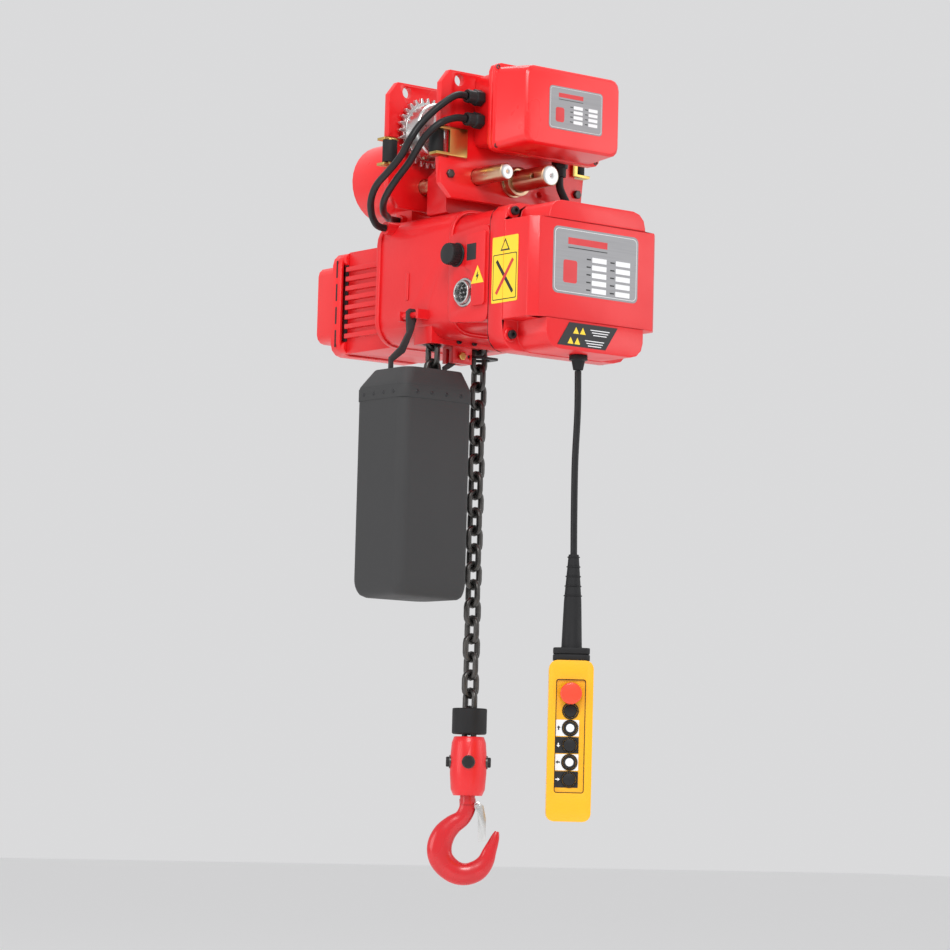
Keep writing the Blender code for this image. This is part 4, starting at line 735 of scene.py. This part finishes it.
# Motor: a black ring as painted shade in the gap at the fan cover, end grille and side vents
frameSlab("ventGapShade", roundedLoop(0.164, 0.164, 0.016), roundedLoop(0.146, 0.146, 0.014), 0.0082,
          (0, 0.2736, -0.220), frontAcross, upright, plastic)
grille = slab("endGrille", roundedLoop(0.094, 0.0050, 0.0024), 0.0004, (0, 0, 0), (-1, 0, 0), upright, plastic)
repeated(grille, 8, (0, 0, -0.0130), (0, 0, 0), (0, 0.3697, -0.1680))
strip = slab("sideVent", roundedLoop(0.0040, 0.030, 0.0018), 0.0005, (0, 0, 0), sideAcross, upright, plastic)
repeated(strip, 4, (0, 0, -0.0400), (0, 0, 0), (-0.0898, 0.2870, -0.1600))
other = slab("sideVentRight", roundedLoop(0.0040, 0.030, 0.0018), 0.0005, (0, 0, 0), (0, 1, 0), upright, plastic)
repeated(other, 4, (0, 0, -0.0400), (0, 0, 0), (0.0898, 0.2870, -0.1600))

# Socket: pins, insert and collar. Plug cap: grip ribs and flange
for index in range(7):
    turn = math.radians(60 * index)
    reach = 0 if index == 6 else 0.0085
    lathe(f"socketPin{index}", [(0, 0.0055), (0.0012, 0.0055), (0.0016, 0.0046), (0.0016, -0.001), (0, -0.001)],
          (-0.1297, -0.127 + reach * math.cos(turn), -0.247 + reach * math.sin(turn)), (-1, 0, 0), steel, "root", 16)
lathe("socketInsert", [(0, 0.0008), (0.0150, 0.0008), (0.0160, 0), (0.0160, -0.001), (0, -0.001)],
      (-0.1297, -0.127, -0.247), (-1, 0, 0), plastic)
lathe("socketCollar", [(0.0205, 0.0020), (0.0232, 0.0020), (0.0240, 0.0010), (0.0240, -0.001), (0.0205, -0.001),
                       (0.0205, 0.0020)], (-0.1330, -0.127, -0.247), (-1, 0, 0), steel)
ribCount = 24
capRib = slab("capRibs", roundedLoop(0.0022, 0.0150, 0.0009, 2), 0.0008, (0, 0.0172, 0), (0, 0, 1), (1, 0, 0),
              plastic)
repeated(capRib, ribCount, (0, 0, 0), (2 * math.pi / ribCount, 0, 0), (-0.1440, -0.105, -0.183))
lathe("capFlange", [(0.0, 0.0030), (0.0190, 0.0030), (0.0200, 0.0020), (0.0200, 0.0003), (0, 0.0003)],
      (-0.1330, -0.105, -0.183), (-1, 0, 0), plastic)

# Container: a rounded tub with a tapering collar, its rivets and the chain that lies in it
tub = {"lowX": -0.206, "highX": -0.058, "halfY": 0.066, "bottom": -0.740, "wall": 0.004, "corner": 0.020,
       "taperLeft": 0.020, "taperRight": 0.008, "taperDeep": 0.014, "footHigh": 0.030, "footShrink": 0.8,
       "footSteps": 8}


def tubLoop(work, shrink, inset, level):
    lowX = tub["lowX"] + tub["taperLeft"] * shrink + inset
    highX = tub["highX"] - tub["taperRight"] * shrink - inset
    deep = 2 * (tub["halfY"] - tub["taperDeep"] * shrink - inset)
    middle = (lowX + highX) / 2
    return [work.verts.new((middle + u, v, level))
            for u, v in roundedLoop(highX - lowX, deep, tub["corner"] - inset, 8)]


work = bmesh.new()
profile = []
for step in range(tub["footSteps"] + 1):
    part = step / tub["footSteps"]
    profile.append((tub["footShrink"] * (1 - math.sqrt(1 - (1 - part) ** 2)), tub["bottom"] + tub["footHigh"] * part))
profile += [(0.0, -0.560), (0.0, -0.3965), (0.03, -0.3945), (0.25, -0.3875), (0.94, -0.3670), (1.03, -0.3652)]
rings = [tubLoop(work, shrink, 0, level) for shrink, level in profile]
rings += [tubLoop(work, shrink, tub["wall"], max(level, tub["bottom"] + tub["wall"]))
          for shrink, level in reversed(profile) if level > tub["bottom"] + tub["wall"]]
for low, high in zip(rings, rings[1:]):
    for index in range(len(low)):
        following = (index + 1) % len(low)
        work.faces.new((low[index], low[following], high[following], high[index]))
work.faces.new(rings[0])
work.faces.new(rings[-1])
tubPiece = addMesh("containerTub", meshOf(work, "containerTub"), greyPlastic, "root", 40)
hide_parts("chain_container")
# Rib on the flank of the housing, above the container
slab("flankRib", roundedLoop(0.0085, 0.047, 0.0035), 0.0018, (-0.1250, 0.038, -0.2195), sideAcross, upright, redCast,
     "root", 0.0010)
frameSlab("rivetBand", roundedLoop(0.1492, 0.1332, 0.0184), roundedLoop(0.1470, 0.1310, 0.0175), 0.020,
          (-0.132, 0, -0.4180), (1, 0, 0), (0, 1, 0), greyPlastic, "root", 0.0004)
rivetRows = {
    "Left": ((-1, 0, 0), (0, 0.0270, 0), (-0.2064, -0.0405, -0.408)),
    "Right": ((1, 0, 0), (0, 0.0270, 0), (-0.0576, -0.0405, -0.408)),
    "Front": ((0, -1, 0), (0.0300, 0, 0), (-0.1770, -0.0664, -0.408)),
    "Back": ((0, 1, 0), (0.0300, 0, 0), (-0.1770, 0.0664, -0.408)),
}
for label, (outward, step, place) in rivetRows.items():
    rivet = lathe("rivets" + label, [(0, 0.0016), (0.0022, 0.0014), (0.0036, 0.0004), (0.0040, -0.0004),
                                     (0, -0.0004)], (0, 0, 0), outward, labelBlack, "root", 16)
    repeated(rivet, 4, step, (0, 0, 0), place)
ringProfile = [(0.012, 0.005), (0.015, 0.0035), (0.017, 0), (0.015, -0.0035), (0.012, -0.005), (0.009, -0.0035),
               (0.007, 0), (0.009, 0.0035), (0.012, 0.005)]
for index in range(6):
    row = lathe(f"storedChain{index}", ringProfile, (0, 0, 0), (0.3 * (index % 3 - 1), 0.2, 1), chainSteel, "root",
                14)
    repeated(row, 5, (0.0225, 0.0045 * (-1) ** index, 0.0035 * (-1) ** index), (0.5, 0.35, 0.6),
             (-0.178, -0.036 + 0.0145 * index, -0.700 + 0.012 * (index % 3)))

# Guide block bolts and ear bolt
for index, across in enumerate((-0.062, -0.030)):
    socketScrew(f"lugBolt{index}", (across, -0.0236, -0.3105), (0, -1, 0), 0.0046, 0.004, plastic)
hexBolt("earBoltHead", (-0.050, -0.0168, -0.333), (0, -1, 0), 0.0070, 0.0045, brass)
print("fixings made")


# Handset

handset = {"depth": -0.260, "front": 0.0210, "back": 0.0259, "firstButton": -0.9215, "buttonPitch": 0.0272,
           "tabX": 0.0044, "labelX": -0.0182}
handsetLine = Vector((0, handset["depth"], 0))
panelCentre = handsetLine + faceOut * handset["front"]
for index, (label, light) in enumerate((("start", False), ("up", True), ("down", False), ("left", True),
                                        ("right", False))):
    level = handset["firstButton"] - handset["buttonPitch"] * index
    spot = panelCentre + Vector((0, 0, level))
    lathe(label + "Bezel", [(0.0110, 0.0024), (0.0122, 0.0026), (0.0132, 0.0014), (0.0134, -0.0002),
                            (0.0110, -0.0002), (0.0110, 0.0024)], spot, faceOut, plastic, "handset", 40)
    if index:
        ground, sign = (white, labelBlack) if light else (labelBlack, white)
        # as many points as the tab's outline, seven for each corner
        hole = [(handset["tabX"] + 0.0112 * math.cos(math.radians(90 * corner + 6 + 13 * step)),
                 0.0112 * math.sin(math.radians(90 * corner + 6 + 13 * step)))
                for corner in range(4) for step in range(7)]
        frameSlab(label + "Tab", roundedLoop(0.0372, 0.0258, 0.0008), hole, 0.0005,
                  spot - faceAcross * handset["tabX"], faceAcross, upright, ground, "handset")
        way = {"up": 90, "down": -90, "left": 180, "right": 0}[label]
        lean = Matrix.Rotation(math.radians(way), 2)
        arrow = [(0.0036, 0), (0.0002, 0.0030), (0.0002, 0.0010), (-0.0034, 0.0010), (-0.0034, -0.0010),
                 (0.0002, -0.0010), (0.0002, -0.0030)]
        slab(label + "Arrow", [tuple(lean @ Vector(point)) for point in arrow], 0.0002,
             spot + faceAcross * handset["labelX"] + faceOut * 0.0006, faceAcross, upright, sign, "handset")
lathe("stopCollar", [(0.0090, 0.0006), (0.0160, 0.0006), (0.0166, 0.0004), (0.0168, -0.0002), (0.0090, -0.0002),
                     (0.0090, 0.0006)], panelCentre + Vector((0, 0, -0.894)), faceOut, plastic, "handset", 48)
# A thin black outline as painted shade along the edge of the recessed button panel
frameSlab("panelRecessShade", roundedLoop(0.0472, 0.180, 0.004), roundedLoop(0.0450, 0.178, 0.003), 0.0006,
          panelCentre + Vector((0, 0, -0.9615)), faceAcross, upright, labelBlack, "handset")
for index, (across, level) in enumerate(((-0.027, -0.853), (0.027, -0.853), (-0.027, -1.085), (0.027, -1.085))):
    seat = Vector((0, handset["depth"], level)) + faceAcross * across - faceOut * handset["back"]
    socketScrew(f"handsetScrew{index}", seat, -faceOut, 0.0034, 0.0008, chainSteel, "handset")

# Boot: a ridged cone over a plain skirt, on a stepped collar
profile = [(0.0057, -0.6740), (0.0057, -0.6705), (0.0080, -0.6705)]
for index in range(5):
    radius, level = 0.0086 + 0.0012 * index, -0.6735 - 0.0155 * index
    profile += [(radius, level), (radius + 0.0015, level - 0.0006), (radius + 0.0015, level - 0.0018),
                (radius + 0.0001, level - 0.0026)]
profile += [(0.0141, -0.7460), (0.0165, -0.8180), (0.0172, -0.8210), (0, -0.8210)]
profile = [(0, -0.6740)] + profile
boot = lathe("handsetSleeve", profile, handsetLine, (0, 0, 1), rubber, "handset", 48, 40)
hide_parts("handset_boot")
collarSteps = ((0.0590, 0.0440, -0.8407, -0.8315), (0.0540, 0.0400, -0.8320, -0.8295),
               (0.0585, 0.0435, -0.8300, -0.8205))
for index, (wide, deep, low, high) in enumerate(collarSteps):
    slab(f"sleeveCollar{index}", roundedLoop(wide, deep, 0.012), high - low, (0, handset["depth"], low), faceAcross,
         -faceOut, rubber, "handset", 0.0008)

# Black rings on the two white buttons
for label in ("up", "left"):
    face = max((vertex.co - handsetLine).dot(faceOut) for vertex in made[label + "_button"].data.vertices)
    level = (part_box(label + "_button")[0][2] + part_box(label + "_button")[1][2]) / 2
    lathe(label + "Ring", [(0.0066, -0.0006), (0.0066, 0.0003), (0.0070, 0.0006), (0.0098, 0.0006), (0.0101, 0.0002),
                           (0.0101, -0.0006), (0.0066, -0.0006)],
          Vector((0, handset["depth"], level)) + faceOut * face, faceOut, plastic, label + "_button", 40)
print("handset made")
